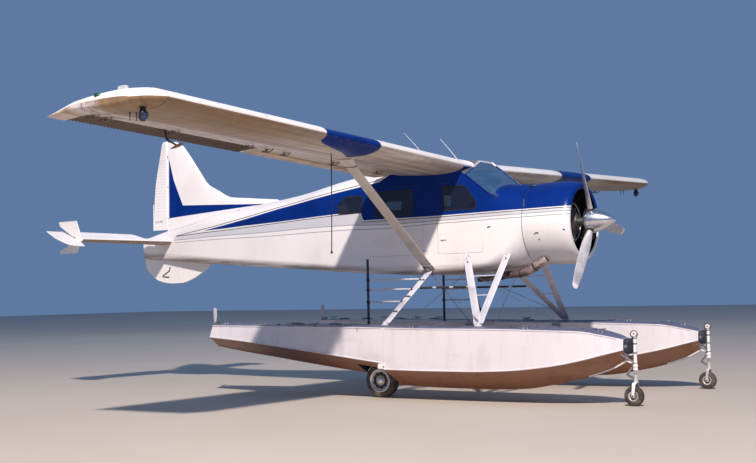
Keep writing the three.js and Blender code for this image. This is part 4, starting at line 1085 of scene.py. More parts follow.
def add_engine():
    form = Form()
    centre = Vector((DATUM, 0, THRUST_Z))
    case = [(0.07, -0.346), (0.092, -0.352), (0.10, -0.375), (0.15, -0.40), (0.165, -0.43),
            (0.225, -0.455), (0.236, -0.47), (0.25, -0.50), (0.25, -0.66), (0.33, -0.70),
            (0.33, -0.76)]
    form.turned(case, centre, steps=54, finish=0)
    form.turned([(0.0, -0.695), (0.585, -0.695), (0.585, -0.705), (0.0, -0.705)], centre,
                steps=54, finish=2)
    form.turned([(0.35, -0.70), (0.36, -0.9), (0.42, -1.2), (0.0, -1.2)], centre, steps=36,
                finish=2)
    ring = [centre + Vector((-0.445, 0.275 * c, 0.275 * s)) for c, s in arc(54)]
    form.tube(ring, 0.013, 10, 3, loop=True)
    for k in range(9):
        angle = 2 * math.pi * k / 9
        out = Vector((0, math.sin(angle), math.cos(angle)))
        side = out.cross(FORWARD)
        foot = Vector((aft(0.57), 0, THRUST_Z))
        fins = [(0.062, 0.2)]
        for step in range(26):
            start = 0.235 + 0.0105 * step
            wide = 0.074 if step < 15 else 0.08
            fins += [(0.058, start), (wide, start + 0.001), (wide, start + 0.0045),
                     (0.058, start + 0.0055)]
        fins += [(0.066, 0.515), (0.05, 0.54), (0, 0.545)]
        form.turned(fins, foot, out, 28, 1)
        for lean in (-1, 1):
            head = foot + out * 0.505 + side * 0.045 * lean
            form.box_at(head, (out, side, FORWARD), (0.05, 0.032, 0.05), 0)
            base = centre + FORWARD * -0.455 + out * 0.225 + side * 0.03 * lean
            form.rod(base, head + FORWARD * 0.03 - out * 0.02, 0.009, 10, 3)
        plug = foot + out * 0.45 + FORWARD * 0.07
        form.rod(plug, plug + FORWARD * 0.03, 0.012, 8, 3)
        start = centre + FORWARD * -0.445 + out * 0.275 + side * 0.06
        middle = (start + plug) / 2 + FORWARD * 0.03 + side * 0.02
        form.tube([start, middle, plug + FORWARD * 0.03], 0.006, 8, 2)
    form.studs([(centre + Vector((-0.452, 0.2 * c, 0.2 * s)), FORWARD) for c, s in arc(24)],
               0.008, 0.007, 3)
    form.make("engine_parts", "airframe", "engine_metal", ENGINE_GREY, FIN_BLACK, JOINT_AND_HOLLOW_SHADE, STEEL,
              replaced=["engine"], sharp=40)


# Propeller and spinner

PROP_CENTRE = Vector((aft(0.13), 0, THRUST_Z))
PROP_REST = 24.2  # degrees that the first blade leans from upright
# Columns: distance out, chord, thickness, pitch in degrees
BLADE_ROWS = [(0.06, 0.084, 0.084, 90), (0.2, 0.088, 0.076, 60), (0.33, 0.122, 0.046, 50),
              (0.52, 0.150, 0.030, 42), (0.82, 0.150, 0.020, 33), (1.06, 0.128, 0.013, 27),
              (1.17, 0.100, 0.009, 25), (1.2, 0.064, 0.007, 24.3), (1.21, 0.012, 0.004, 24)]


def add_propeller():
    form, boots = Form(), Form()
    places = spread(0.06, 1.17, 30) + [1.18, 1.19, 1.198, 1.204, 1.208, 1.21]
    for step in (0, 120, 240):
        turn = Matrix.Translation(PROP_CENTRE) @ Matrix.Rotation(
            math.radians(PROP_REST + step), 4, "X")
        rings = []
        for out in places:
            chord, thick, pitch = smooth(BLADE_ROWS, out)
            lean = math.radians(pitch)
            ring = []
            for c, s in arc(28):
                a, b = c * chord / 2, s * thick / 2
                ring.append(turn @ Vector((a * math.sin(lean) + b * math.cos(lean),
                                           -a * math.cos(lean) + b * math.sin(lean), out)))
            rings.append(ring)
        form.skin(rings, 0)
        out = turn.to_3x3() @ UP
        boot = [(0.05, 0.15), (0.056, 0.155), (0.056, 0.178), (0.049, 0.186), (0.047, 0.2)]
        boots.turned(boot, PROP_CENTRE, out, 28, 0)
    form.turned([(0, -0.074), (0.096, -0.074), (0.096, 0.06), (0.04, 0.11), (0, 0.11)],
                PROP_CENTRE, steps=36, finish=1)
    form.turned([(0, -0.215), (0.06, -0.215), (0.06, -0.05), (0, -0.05)], PROP_CENTRE, steps=30,
                finish=1)
    form.make("propeller_set", "propeller", "bare_metal", BLADE, STEEL,
              replaced=["propeller_blades"], sharp=50)
    cone = [(0.0, 0.37), (0.014, 0.364), (0.034, 0.343), (0.084, 0.270), (0.132, 0.174),
            (0.166, 0.070), (0.184, -0.030), (0.1862, -0.060)]
    shell = Form().turned(curve_through(cone, 60), PROP_CENTRE, steps=96, finish=0)
    shell.turned([(0.15, -0.058), (0.1865, -0.058), (0.1868, -0.064), (0.1868, -0.074),
                  (0.097, -0.075)], PROP_CENTRE, steps=96, finish=1)
    for place, radius in ((0.02, 0.1763), (-0.03, 0.1842)):
        ring = [PROP_CENTRE + Vector((place, radius * c, radius * s)) for c, s in arc(96)]
        shell.tube(ring, 0.0012, 6, 1, loop=True)
    bolts = [(PROP_CENTRE + Vector((-0.046, 0.1853 * c, 0.1853 * s)), Vector((0, c, s)))
             for c, s in arc(24)]
    shell.studs(bolts, 0.004, 0.0015, 1)
    shell.make("spinner_shell", "propeller", "bare_metal", POLISHED, DARK_STEEL,
               replaced=["spinner"], sharp=50)
    boots.make("blade_boots", "propeller", "bare_metal", SEAL)


# Exhaust: a hooded elbow under the starboard side

def add_exhaust():
    rows = [(0.0, 0.735, -0.330, 1.988, 0.066), (1.0, 0.860, -0.342, 1.905, 0.066),
            (2.0, 1.000, -0.345, 1.822, 0.061), (3.0, 1.170, -0.345, 1.782, 0.057),
            (4.2, 1.420, -0.345, 1.764, 0.057), (4.6, 1.480, -0.345, 1.742, 0.046),
            (6.2, 1.850, -0.345, 1.716, 0.045)]
    path, sizes = [], []
    for place in spread(0, 6.2, 60):
        back, y, z, radius = smooth(rows, place)
        path.append(Vector((aft(back), y, z)))
        sizes.append(float(radius))
    form = Form().tube(path, sizes, 32, 0, ends=False)
    # The bore and its throat are dark painted shade
    form.tube(path, [s - 0.005 for s in sizes], 32, 1, ends=False)
    form.tube(path[:2], [sizes[0] * 0.9, sizes[0] * 0.5], 32, 1)
    for spot, turn, r in ((path[0], path[0] - path[1], 0.066),
                          (path[-1], path[-1] - path[-2], 0.045)):
        form.turned([(r, -0.006), (r + 0.003, 0), (r, 0.006), (r - 0.008, 0.006),
                     (r - 0.008, -0.006)], spot, turn.normalized(), 32, 0, loop=True)
    for share in (13, 27, 41):
        along_pipe = (path[share + 1] - path[share]).normalized()
        form.turned([(sizes[share] + 0.001, -0.012), (sizes[share] + 0.005, -0.009),
                     (sizes[share] + 0.005, 0.009), (sizes[share] + 0.001, 0.012)],
                    path[share], along_pipe, 32, 2, loop=True)
        form.box_at(path[share] + Vector((0, -0.03, -sizes[share] - 0.004)),
                    (FORWARD, PORT, UP), (0.02, 0.03, 0.012), 2)
    form.make("exhaust_stack", "airframe", "dark_metal", RUST, JOINT_AND_HOLLOW_SHADE, DARK_STEEL,
              replaced=["exhaust_pipe"], sharp=50)


add_cowling()
add_engine()
add_propeller()
add_exhaust()


# Wings: smooth skins ahead of the hinge line, and a full-chord tip

SURFACE_RADIUS = 0.034
BEAD_PITCH = 0.055
DROOP = 9  # degrees that flaps and ailerons hang down at rest
HINGE_PLACES = (1.25, 2.4, 3.55, 4.34, 5.74, 6.85)
# Columns: distance out, leading edge's retreat, thickness share
TIP_ROWS = [(7.068, 0.0, 1.0), (7.11, 0.024, 0.97), (7.18, 0.075, 0.9), (7.24, 0.135, 0.79),
            (7.285, 0.215, 0.62), (7.308, 0.29, 0.42), (7.315, 0.34, 0.2)]


def wing_finish(i):
    """Top finish over the upper points of a ring, the other beneath, which carries painted bounce
    light.
    """
    return 0 if i is not None and i < WING_STEPS else 1


def trailing_points(y):
    """The hinge axis of the flap and aileron at a distance out."""
    hinge = wing_point(HINGE_SHARE, 0, y)
    return Vector((hinge.x - SURFACE_RADIUS - 0.014, y, hinge.z - 0.016))


def drooped(point):
    """Lowers a tip's rear in line with the aileron at rest."""
    behind = wing_point(HINGE_SHARE, 0, 0).x - point.x
    return point - UP * max(0, behind) * math.tan(math.radians(DROOP))


def add_wings():
    form = Form()
    form.skin([wing_ring(-y, HINGE_SHARE) for y in spread(CABIN_HALF + 0.0005, TIP_JOINT, 60)],
              finish_of=wing_finish)
    form.skin([[drooped(p) for p in wing_ring(-y, 1.0, *smooth(TIP_ROWS, y))]
               for y in (*spread(TIP_JOINT + 0.001, 7.24, 12), 7.26, 7.28, 7.295, 7.305,
                         7.311, 7.315)],
              finish_of=wing_finish)
    for y in HINGE_PLACES:
        axis = trailing_points(-y)
        form.box_at(axis + Vector((0.052, 0, 0)), (FORWARD, PORT, UP), (0.036, 0.04, 0.028), 2)
    made = form.make_pair("wing_skin", "airframe", "white_paint", WING_TOP, WING_UNDER_BOUNCE_AND_STAIN, STEEL,
                          replaced=["wing_*"], sharp=32)
    return made[0]


def surface_outline(length):
    """Section of a flap or aileron behind its axis: distance aft, height, share of the bead."""
    nose = [(-SURFACE_RADIUS * s, SURFACE_RADIUS * c, 0) for c, s in arc(13, 0, 180)]
    under = [(0.03, -0.031, 0.3), (0.09, -0.025, 1), (length * 0.5, -0.014, 1), (length, -0.004, 1)]
    over = [(length, 0.004, 1), (length * 0.5, 0.024, 1), (0.09, 0.0315, 1), (0.03, 0.0335, 0.3)]
    return nose + under, over


def bead(place, start, end, height):
    """The height of a pressed bead across a surface, none near its ends."""
    inside = min(place - start, end - place)
    if inside < 0.035:
        return 0.0
    swing = math.cos(2 * math.pi * (place - start) / BEAD_PITCH)
    return height * max(0.0, swing) ** 1.2


def bead_stations(start, end):
    count = round((end - start) / BEAD_PITCH * 8)
    return spread(start, end, count + 1)


def trailing_surface(inner, outer):
    """A corrugated flap or aileron between two distances out, drooped about its axis."""
    length = trailing_points(0).x - wing_point(1, 0, 0).x
    droop = math.radians(DROOP)
    lower, upper = surface_outline(length)
    outline = lower + upper
    rings = []
    for y in bead_stations(inner, outer):
        axis = trailing_points(-y)
        lift = bead(y, inner, outer, 0.010)
        ring = []
        for back, height, share in outline:
            z = height + math.copysign(lift * share, height)
            back += 1.5 * lift * (back == length)
            ring.append(axis + Vector((-back * math.cos(droop) - z * math.sin(droop), 0,
                                       -back * math.sin(droop) + z * math.cos(droop))))
        rings.append(ring)
    # The faces beneath take the second finish, which carries painted light
    return Form().skin(rings,
                       finish_of=lambda i: 1 if i is not None and 6 < i < len(lower) else 0)


def add_trailing_surfaces():
    flap = trailing_surface(CABIN_HALF + 0.018, 3.95)
    flap.make_pair("flap_skin", "flap_body_*", "white_paint", WING_TOP, WING_UNDER_BOUNCE_AND_STAIN,
                   replaced=["flap_*"], sharp=50)
    aileron = trailing_surface(3.968, 7.05)
    aileron.make_pair("aileron_skin", "aileron_body_*", "white_paint", WING_TOP, AILERON_UNDER_SHADE,
                      replaced=["aileron_*"], sharp=50)
    # Balance weight on an arm that leads the aileron's hinge below the wing
    y = -5.8
    axis = trailing_points(y)
    arm = Form()
    droop = Matrix.Rotation(math.radians(-DROOP), 4, "Y")
    points = curve_through([(-0.01, -0.012), (0.0, -0.09), (0.002, -0.158), (0.02, -0.18),
                            (0.09, -0.232), (0.15, -0.277)], 20)
    arm.tube([axis + droop @ Vector((x, 0, z)) for x, z in points],
             [0.0125] * 9 + [0.0115] * 11, 14, 0)
    weight = curve_through([(0, -0.108), (0.008, -0.09), (0.0175, -0.01), (0.0195, 0.045),
                            (0.0135, 0.09), (0, 0.105)], 26)
    nose = Vector((1, 0, 0.08)).normalized()
    arm.turned(weight, axis + droop @ Vector((0.15, 0, -0.287)), droop @ nose, 28, 1)
    arm.disc(axis + droop @ Vector((0.002, 0.013, -0.163)), PORT, 0.014, 0.005, 0)
    arm.box_at(axis + droop @ Vector((-0.055, 0, -0.034)), (FORWARD, PORT, UP),
               (0.11, 0.045, 0.006), 0)
    arm.make_pair("aileron_balance", "aileron_body_*", "white_paint", DARK_STEEL, BALANCE_PAINT)


def add_wing_details(wing):
    skin = Skin(wing)
    lines, lamps = Form(), Form()
    # Skin joints that run round the section, with fastener rows
    for y in (1.7, 2.89, 4.16, 5.35, 6.2, TIP_JOINT - 0.006):
        for share in (1, -1):
            path = [wing_point(s, share, -y) for s in (0.0, 0.01, 0.03, 0.07, 0.13, 0.2, 0.3,
                                                      0.4, 0.5, 0.6, 0.74)]
            normals = [UP * share if i > 2 else (FORWARD + UP * share * 0.5 * i).normalized()
                       for i in range(len(path))]
            lines.strip(path, normals, 0.006, 0.0012, 0 if y > 7 else 1)
            spots = [(p.x, p.y + 0.02) for p in along(path[2:], 0.05)]
            hits = skin.down(spots) if share > 0 else skin.up(spots)
            lines.studs(hits, 0.0045, 0.0014, 1)
    # Spanwise rows over the spars
    for share_aft in (0.12, 0.42, 0.7):
        for share in (1, -1):
            spots = [(p.x, p.y) for p in along(
                [wing_point(share_aft, share, -0.75), wing_point(share_aft, share, -7.0)], 0.07)]
            hits = skin.down(spots) if share > 0 else skin.up(spots)
            lines.studs(hits, 0.0045, 0.0014, 1)
    for y in (1.05, 2.2, 3.3, 4.7, 5.8, 6.5):
        hit = skin.up([(aft(2.9), -y)])[0]
        lines.disc(hit[0] - hit[1] * 0.001, hit[1], 0.045, 0.003, 1)
    for x, y, z in ((1.982, -3.789, 3.495), (1.993, -3.578, 3.494), (2.026, -3.677, 3.532),
                    (2.023, -3.948, 3.535)):
        hit = skin.hit((x + 1, y, z), (-1, 0, 0))
        if hit:
            lines.studs([hit], 0.012, 0.004, 2)
    lines.make_pair("wing_seams", "airframe", "white_paint", JOINT_AND_HOLLOW_SHADE, WING_UNDER_BOUNCE_AND_STAIN, BOLT)

    # Landing lamp in a pod under the tip joint, navigation lamp and strobe at the tip
    base = skin.up([(1.74, -7.14)])[0][0]
    pod = curve_through([(0, -0.150), (0.022, -0.145), (0.041, -0.125), (0.049, -0.095),
                         (0.046, -0.06), (0.036, -0.03), (0.030, 0.004)], 30)
    lamps.turned(pod, base, UP, 36, 1)
    lamps.turned(curve_through([(0.047, -0.012), (0.046, 0.008), (0.034, 0.024), (0.014, 0.031),
                                (0, 0.032)], 16),
                 base + Vector((0.022, 0, -0.096)), Vector((1, 0, -0.35)), 32, 0)
    lamps.turned([(0.046, 0.0), (0.052, 0.002), (0.052, 0.012), (0.046, 0.014)],
                 base + Vector((0.020, 0, -0.090)), Vector((1, 0, -0.35)), 32, 1, loop=True)
    lamps.disc(base - UP * 0.004, UP, 0.045, 0.009, 1)
    # The tip lamp stands off the leading corner of the tip
    tip = Vector((1.215, -7.292, 3.732))
    teardrop = curve_through([(0, -0.055), (0.012, -0.04), (0.021, -0.01), (0.022, 0.015),
                              (0.012, 0.038), (0, 0.044)], 20)
    lamps.turned(teardrop, tip, FORWARD, 24, 2)
    lamps.turned([(0.024, -0.02), (0.0265, -0.01), (0.0265, 0.0), (0.022, 0.006)],
                 tip - FORWARD * 0.008, FORWARD, 24, 1, loop=True)
    top = skin.down([(1.47, -7.16)])[0]
    outline = rounded([(-0.075, -0.02), (0.075, -0.02), (0.075, 0.02), (-0.075, 0.02)], 0.018)
    lamps.skin([[top[0] + Vector((a * k, b * k, h)) for a, b in outline]
                for h, k in ((-0.006, 1), (0.022, 1), (0.034, 0.86), (0.04, 0.6))], 3)
    for form, side, lens in ((lamps, "right", GREEN_GLASS), (lamps.mirrored(), "left", RED_GLASS)):
        form.make(f"wing_lamps_{side}", "airframe", "glass", LAMP_GLASS, POD_BLACK, lens,
                  CLEAR_LENS)

    # Hinge brackets behind the rear spar: a bar, a lens-shaped loop and a pin
    brackets = Form()
    for y in (*HINGE_PLACES, 3.93, 7.045):
        axis = trailing_points(-y)
        rear = skin.up([(axis.x + 0.075, -y)])[0][0] + UP * 0.004
        front = skin.up([(axis.x + 0.195, -y)])[0][0] + UP * 0.004
        low_point = Vector((axis.x + 0.03, -y, axis.z - 0.085))
        for shift in (-0.017, 0.017):
            side = PORT * shift
            brackets.tube([rear + side, rear + side - UP * 0.03, low_point + side + FORWARD * 0.01,
                           low_point + side], [0.009, 0.0075, 0.0075, 0.0085], 10, 0)
        belly = [front.lerp(low_point, t) - UP * 0.026 * math.sin(math.pi * t)
                 for t in spread(0, 1, 12)]
        brackets.tube(belly, 0.0075, 10, 0)
        upper = [front.lerp(low_point, t) + UP * 0.012 * math.sin(math.pi * t)
                 for t in spread(0, 1, 12)]
        brackets.tube(upper, 0.006, 10, 0)
        brackets.rod(low_point - PORT * 0.03, low_point + PORT * 0.03, 0.0095, 14, 1)
        brackets.disc(front - UP * 0.006, UP, 0.02, 0.006, 0)
    for x, y in ((1.45, 7.04), (1.52, 7.01)):
        hit = skin.up([(x, -y)])[0]
        brackets.tube([hit[0] + UP * 0.01, hit[0] - UP * 0.03, hit[0] - UP * 0.085],
                      [0.0065, 0.0055, 0.0045], 10, 1)
        brackets.disc(hit[0] - UP * 0.004, UP, 0.014, 0.006, 1)
    brackets.make_pair("wing_brackets", "airframe", "white_paint", BRACKET_BROWN, DARK_STEEL)


# Under the ailerons: dark brown painted shade, with water-stain runs over it
AILERON_UNDER_SHADE = float_paint("flap_under_paint", rgb("4e3b2f"), rgb("35271f"), rgb("725e4e"), 4.0)
BALANCE_PAINT = float_paint("balance_paint", rgb("8d7263"), rgb("6a5245"), rgb("574338"), 7.0)
BRACKET_BROWN = float_paint("bracket_paint", rgb("77604f"), rgb("58453a"), rgb("3f312a"), 9.0)
POD_BLACK = paint("pod_paint", rgb("1c2026"), rgb("33363d"), 0.5, 0.25, 6.0, 0.3)
wing_skin = add_wings()
add_trailing_surfaces()
add_wing_details(wing_skin)


# Tail. Fin columns: level, leading edge aft, thickness
FIN_ROWS = [(2.600, 6.900, 0.096), (3.050, 5.900, 0.092), (3.176, 5.900, 0.086),
            (3.216, 6.280, 0.084), (3.243, 6.550, 0.082), (3.266, 6.820, 0.080),
            (3.286, 6.980, 0.080), (3.330, 7.100, 0.080),
            (3.395, 7.215, 0.080), (3.545, 7.495, 0.080), (3.805, 7.705, 0.074),
            (4.181, 8.000, 0.062), (4.312, 8.125, 0.052), (4.380, 8.270, 0.042)]
RUDDER_HINGE, ELEVATOR_HINGE = 8.50, 8.70
TAILPLANE_Z = 2.545
FIN_CAP_Z = 4.33  # where the tops of fin and rudder begin to round off
ELEVATOR_REST = 24  # degrees that the elevators are raised at rest
END_PLATE_Y = 2.10
# Half thickness along a tail surface, as shares of its length and of its thickest
TAIL_SECTION = [(0, 0), (0.012, 0.2), (0.06, 0.45), (0.18, 0.75), (0.3, 0.9), (0.65, 1),
                (1, 0.8)]


SPAR_SHARE = 0.62  # share of the tailplane's chord ahead of its fastener row


def section_shares(count=12):
    """Shares along a tail section, closer together at its nose."""
    return [(i / count) ** 1.6 for i in range(count + 1)]


def thin_section(lead, back, half, place):
    """A closed outline from the leading edge back; place gives a point for (aft, offset)."""
    points = []
    for side in (1, -1):
        shares = section_shares() if side == 1 else section_shares()[:0:-1]
        for share in shares:
            offset = side * half * smooth(TAIL_SECTION, share)[0]
            points.append(place(lead + share * (back - lead), offset))
    return points


def add_fin():
    form = Form()
    back = RUDDER_HINGE - 0.044
    levels = spread(2.6, 3.09, 4) + spread(3.11, 3.4, 16) + spread(3.42, 4.3, 30) + \
        [4.32, 4.34, 4.355, 4.368, 4.377, 4.38]
    rings = []
    for z in levels:
        lead, thick = smooth(FIN_ROWS, z)
        if z > FIN_CAP_Z:
            thick *= math.sqrt(max(0.12, 1 - ((z - FIN_CAP_Z) / 0.052) ** 2))
        rings.append(thin_section(lead, back, thick / 2, lambda a, b, z=z: (aft(a), b, z)))
    form.skin(rings, 0)
    for z in (2.98, 3.56, 4.12):
        form.box((aft(RUDDER_HINGE - 0.031), -0.016, z - 0.02),
                 (aft(back - 0.01), 0.016, z + 0.02), 1)
        for side in (-1, 1):
            spot = Vector((aft(RUDDER_HINGE - 0.05), side * 0.032, z))
            form.disc(spot, PORT * side, 0.013, 0.006, 1)
    form.make("fin_skin", "airframe", "white_paint", HULL, STEEL, replaced=["fin"], sharp=30)


def ribbed_ring(length, radius, taper, lift, shares, squeeze=1.0):
    """Section of a tail surface behind its axis: a round nose, then straight sides."""
    nose = [(radius * s, radius * c * squeeze) for c, s in arc(11, 0, 180)]
    sides = [(-length * share, (radius - taper * share + lift) * squeeze) for share in shares]
    return nose + [(x, -half) for x, half in sides] + sides[::-1]


def add_rudder():
    """Ribs pressed across its sides, and a smooth cap."""
    rows = [(2.772, 0.352), (3.53, 0.29), (4.2, 0.15), (4.34, 0.12), (4.402, 0.08)]
    rings = []
    for z in bead_stations(2.772, 4.395) + [4.402]:
        length = float(smooth(rows, z)[0])
        lift = bead(z, 2.80, 4.21, 0.004) if z < 4.21 else 0
        top = math.sqrt(max(0.1, 1 - max(0, (z - FIN_CAP_Z) / 0.075) ** 2))
        ring = ribbed_ring(length, 0.03, 0.025, lift, (0.35, 0.7, 1.0), top)
        rings.append([(aft(RUDDER_HINGE) + x, y, z) for x, y in ring])
    form = Form().skin(rings, 0)
    form.make("rudder_skin", "rudder_body", "white_paint", PLAIN_WHITE, replaced=["rudder"],
              sharp=50)
    trim = Form()
    for side in (-1, 1):
        trim.rod((aft(8.62), side * 0.034, 2.93), (aft(8.79), side * 0.02, 2.93), 0.0035, 8, 0)
        trim.disc((aft(8.62), side * 0.026, 2.93), PORT * side, 0.012, 0.012, 0)
    trim.box((aft(8.85), -0.006, 2.83), (aft(8.842), 0.006, 3.25), 1)
    trim.studs([(Vector((aft(8.6), side * 0.024, z)), PORT * side) for side in (-1, 1)
                for z in spread(2.85, 4.1, 26)], 0.004, 0.002, 1)
    trim.make("rudder_trim", "rudder_body", "white_paint", STEEL, PLAIN_WHITE)


END_PLATE = [  # (ahead of the elevator hinge, above the tailplane's middle)
    (0.092, -0.190), (0.160, -0.020), (0.160, 0.070), (0.062, 0.312), (-0.360, 0.306),
    (-0.330, 0.236), (-0.020, 0.052), (0.048, 0.034), (0.048, -0.034), (-0.020, -0.052),
    (-0.330, -0.186), (-0.330, -0.232), (0.062, -0.230)]


# Under the tailplane: brown painted shade with warm bounce light, and stains
TAIL_UNDER_SHADE = float_paint("tail_under_shade_paint", rgb("9f8873"), rgb("7f6b59"), rgb("65533f"), 2.5)


def tailplane_row(y):
    """How far aft the tailplane's leading edge is at a distance out, and its half thickness."""
    share = abs(y) / END_PLATE_Y
    return 8.25 + 0.23 * share, 0.056 - 0.012 * share


def add_tailplane():
    form = Form()
    back = ELEVATOR_HINGE - 0.044
    rings = []
    for y in spread(-END_PLATE_Y, END_PLATE_Y, 41):
        lead, half = tailplane_row(y)
        rings.append(thin_section(lead, back, half,
                                  lambda a, b, y=y: (aft(a), y, TAILPLANE_Z + b)))
    # The faces beneath take the brown painted shade
    form.skin(rings, finish_of=lambda i: 2 if i is not None and i > 13 else 0)
    hinge = aft(ELEVATOR_HINGE)
    plate = [(hinge + x, TAILPLANE_Z + z) for x, z in END_PLATE]
    for side in (-1, 1):
        form.plate(plate, side * END_PLATE_Y - 0.005, side * END_PLATE_Y + 0.005, 0)
        edge = [Vector((x, side * END_PLATE_Y, z)) for x, z in plate[:5]]
        form.tube(along(edge, 0.03), 0.008, 10, 0)
        for z in (-0.11, 0.11, 0.2):
            form.studs([(Vector((hinge + 0.03, side * END_PLATE_Y + end * 0.005, TAILPLANE_Z + z)),
                         PORT * end) for end in (-1, 1)], 0.008, 0.004, 1)
        for y in (0.52, 1.3, 1.96):
            form.box((aft(ELEVATOR_HINGE - 0.0365), side * y - 0.018, TAILPLANE_Z - 0.012),
                     (aft(back - 0.02), side * y + 0.018, TAILPLANE_Z + 0.012), 1)
    for y in spread(-1.95, 1.95, 56):
        lead, half = tailplane_row(y)
        half *= smooth(TAIL_SECTION, SPAR_SHARE)[0]
        spar = aft(lead + SPAR_SHARE * (back - lead))
        form.studs([(Vector((spar, y, TAILPLANE_Z + side * half)), UP * side)
                    for side in (1, -1)], 0.004, 0.0015, 0)
    form.make("tailplane_skin", "airframe", "white_paint", PLAIN_WHITE, STEEL, TAIL_UNDER_SHADE,
              replaced=["tailplane"], sharp=35)


def add_elevators():
    """Ribbed between the root and the end plate, smooth on the horn outside it."""
    rest = Matrix.Translation((aft(ELEVATOR_HINGE), 0, TAILPLANE_Z)) @ Matrix.Rotation(
        math.radians(ELEVATOR_REST), 4, "Y")
    form = Form()
    inner, outer = 0.19, END_PLATE_Y - 0.012
    rings = []
    for y in bead_stations(inner, outer):
        length = float(smooth([(0.19, 0.15), (0.39, 0.372), (3, 0.372)], y)[0])
        lift = bead(y, inner + 0.2, outer, 0.004) if y > inner + 0.2 else 0
        ring = ribbed_ring(length, 0.036, 0.032, lift, (0.3, 0.65, 1.0))
        rings.append([rest @ Vector((x, -y, z)) for x, z in ring])
    form.skin(rings, 0)
    # Columns: distance out, horn ahead of the hinge, length aft, half thickness
    rows = [(2.112, 0.30, 0.372, 0.034), (2.30, 0.295, 0.372, 0.032), (2.40, 0.26, 0.372, 0.027),
            (2.445, 0.19, 0.240, 0.021), (2.470, 0.08, 0.090, 0.013)]
    rings = []
    for y in (*spread(2.112, 2.36, 8), *spread(2.38, 2.46, 10), 2.466, 2.470):
        ahead, back, half = (float(v) for v in smooth(rows, y))
        ring = []
        for side in (1, -1):
            for share in spread(0, 1, 12)[:11 if side == 1 else 12]:
                share = share if side == 1 else 1 - share
                x = ahead - (ahead + back) * (1 - math.cos(math.pi * share)) / 2
                thick = half * math.sqrt(max(0, min(1, (ahead - x) / 0.16))) if x > ahead - 0.16 \
                    else half * (0.1 + 0.9 * min(1, (x + back) / (ahead + back - 0.16)))
                ring.append(rest @ Vector((x, -y, side * thick)))
        rings.append(ring)
    form.skin(rings, 0)
    neck = [[rest @ Vector((x, -y, z)) for x, z in ((0.02, 0.014), (0.0, 0.024), (-0.06, 0.012),
             (-0.06, -0.012), (0.0, -0.024), (0.02, -0.014))] for y in (2.08, 2.12)]
    form.skin(neck, 0)
    form.make_pair("elevator_skin", "elevators", "white_paint", PLAIN_WHITE,
                   replaced=["elevator_*"], sharp=50)


VENTRAL = [(9.060, 2.330), (9.020, 2.100), (8.900, 1.965), (8.700, 1.845), (8.400, 1.797),
           (8.150, 1.803), (7.900, 1.868), (7.700, 1.965), (7.500, 2.100), (7.460, 2.250)]


def add_ventral_fin():
    curve = curve_through([(aft(a), z) for a, z in VENTRAL], 60)
    outline = [(float(x), float(z)) for x, z in curve] + [(aft(7.6), 2.3), (aft(9.0), 2.42)]
    form = Form().plate(outline, -0.011, 0.011, 0)
    form.tube([(x, 0, z) for x, z in outline[:60]], 0.014, 12, 0)
    for back in (7.8, 8.2, 8.6, 8.95):
        for side in (-1, 1):
            form.strip([(aft(back), side * 0.011, 1.86 if 8 < back < 8.8 else 2.0),
                        (aft(back), side * 0.011, 2.16)], PORT * side, 0.03, 0.003, 0)
    spots = along([(aft(7.75), 2.1), (aft(8.9), 2.1)], 0.05)
    form.studs([(Vector((x, side * 0.011, z)), PORT * side) for x, z in spots
                for side in (-1, 1)], 0.005, 0.002, 0)
    # The lower corner is strengthened by a bent rod on each side
    bend = [(8.43, 2.09), (8.45, 2.02), (8.62, 1.93), (8.60, 1.915), (8.46, 1.905)]
    for side in (-1, 1):
        form.tube(along([Vector((aft(a), side * 0.02, z)) for a, z in bend], 0.02), 0.008, 8, 1)
    form.make("ventral_fin_plate", "airframe", "white_paint", PLAIN_WHITE, DARK_STEEL,
              replaced=["ventral_fin"], sharp=40)


add_fin()
add_rudder()
add_tailplane()
add_elevators()
add_ventral_fin()


# Floats. Columns: aft, deck half width, chine half width, deck, chine and keel levels
FORE_ROWS = [
    (-0.930, 0.110, 0.125, 0.876, 0.730, 0.590), (-0.750, 0.250, 0.275, 0.925, 0.680, 0.490),
    (-0.400, 0.375, 0.395, 0.990, 0.590, 0.375), (0.000, 0.430, 0.445, 1.004, 0.515, 0.285),
    (0.600, 0.445, 0.457, 1.020, 0.452, 0.192), (1.200, 0.445, 0.460, 1.028, 0.431, 0.176),
    (1.900, 0.445, 0.460, 1.032, 0.430, 0.180), (2.560, 0.445, 0.460, 1.045, 0.438, 0.202),
]
REAR_ROWS = [
    (2.564, 0.445, 0.460, 1.045, 0.524, 0.300), (3.900, 0.430, 0.445, 1.064, 0.684, 0.458),
    (5.000, 0.330, 0.365, 1.072, 0.800, 0.600), (5.500, 0.245, 0.290, 1.074, 0.842, 0.664),
    (6.050, 0.125, 0.192, 1.076, 0.877, 0.748),
]
WELL_REAR, WELL_HALF, WELL_TOP = 3.16, 0.262, 0.64
FLOAT_POINTS = 24  # round a float's section


def float_ring(rows, back):
    deck, chine, deck_z, chine_z, keel = smooth(rows, back)
    half = [(0, keel), (0.03, keel + 0.012), (chine * 0.5, keel + (chine_z - keel) * 0.5),
            (chine - 0.004, chine_z - 0.004), (chine + 0.006, chine_z),
            (chine + 0.004, chine_z + 0.014), (chine - 0.002, chine_z + 0.018),
            ((chine + deck) / 2, (chine_z + deck_z) / 2), (deck, deck_z - 0.03),
            (deck - 0.004, deck_z - 0.008), (deck * 0.93, deck_z + 0.001),
            (deck * 0.6, deck_z + 0.009), (0, deck_z + 0.014)]
    ring = half + [(-y, z) for y, z in half[-2:0:-1]]
    return [(aft(back), y - FLOAT_Y, z) for y, z in ring]


def float_finish(i):
    """Bottom, side or deck, by the place in the ring. The bottom and deck finishes are painted
    shade.
    """
    if i is None:
        return 0
    place = min(i, FLOAT_POINTS - 1 - i)
    return 1 if place < 3 else 0 if place < 9 else 2


def float_level(rows, back, column):
    return float(smooth(rows, back)[column])


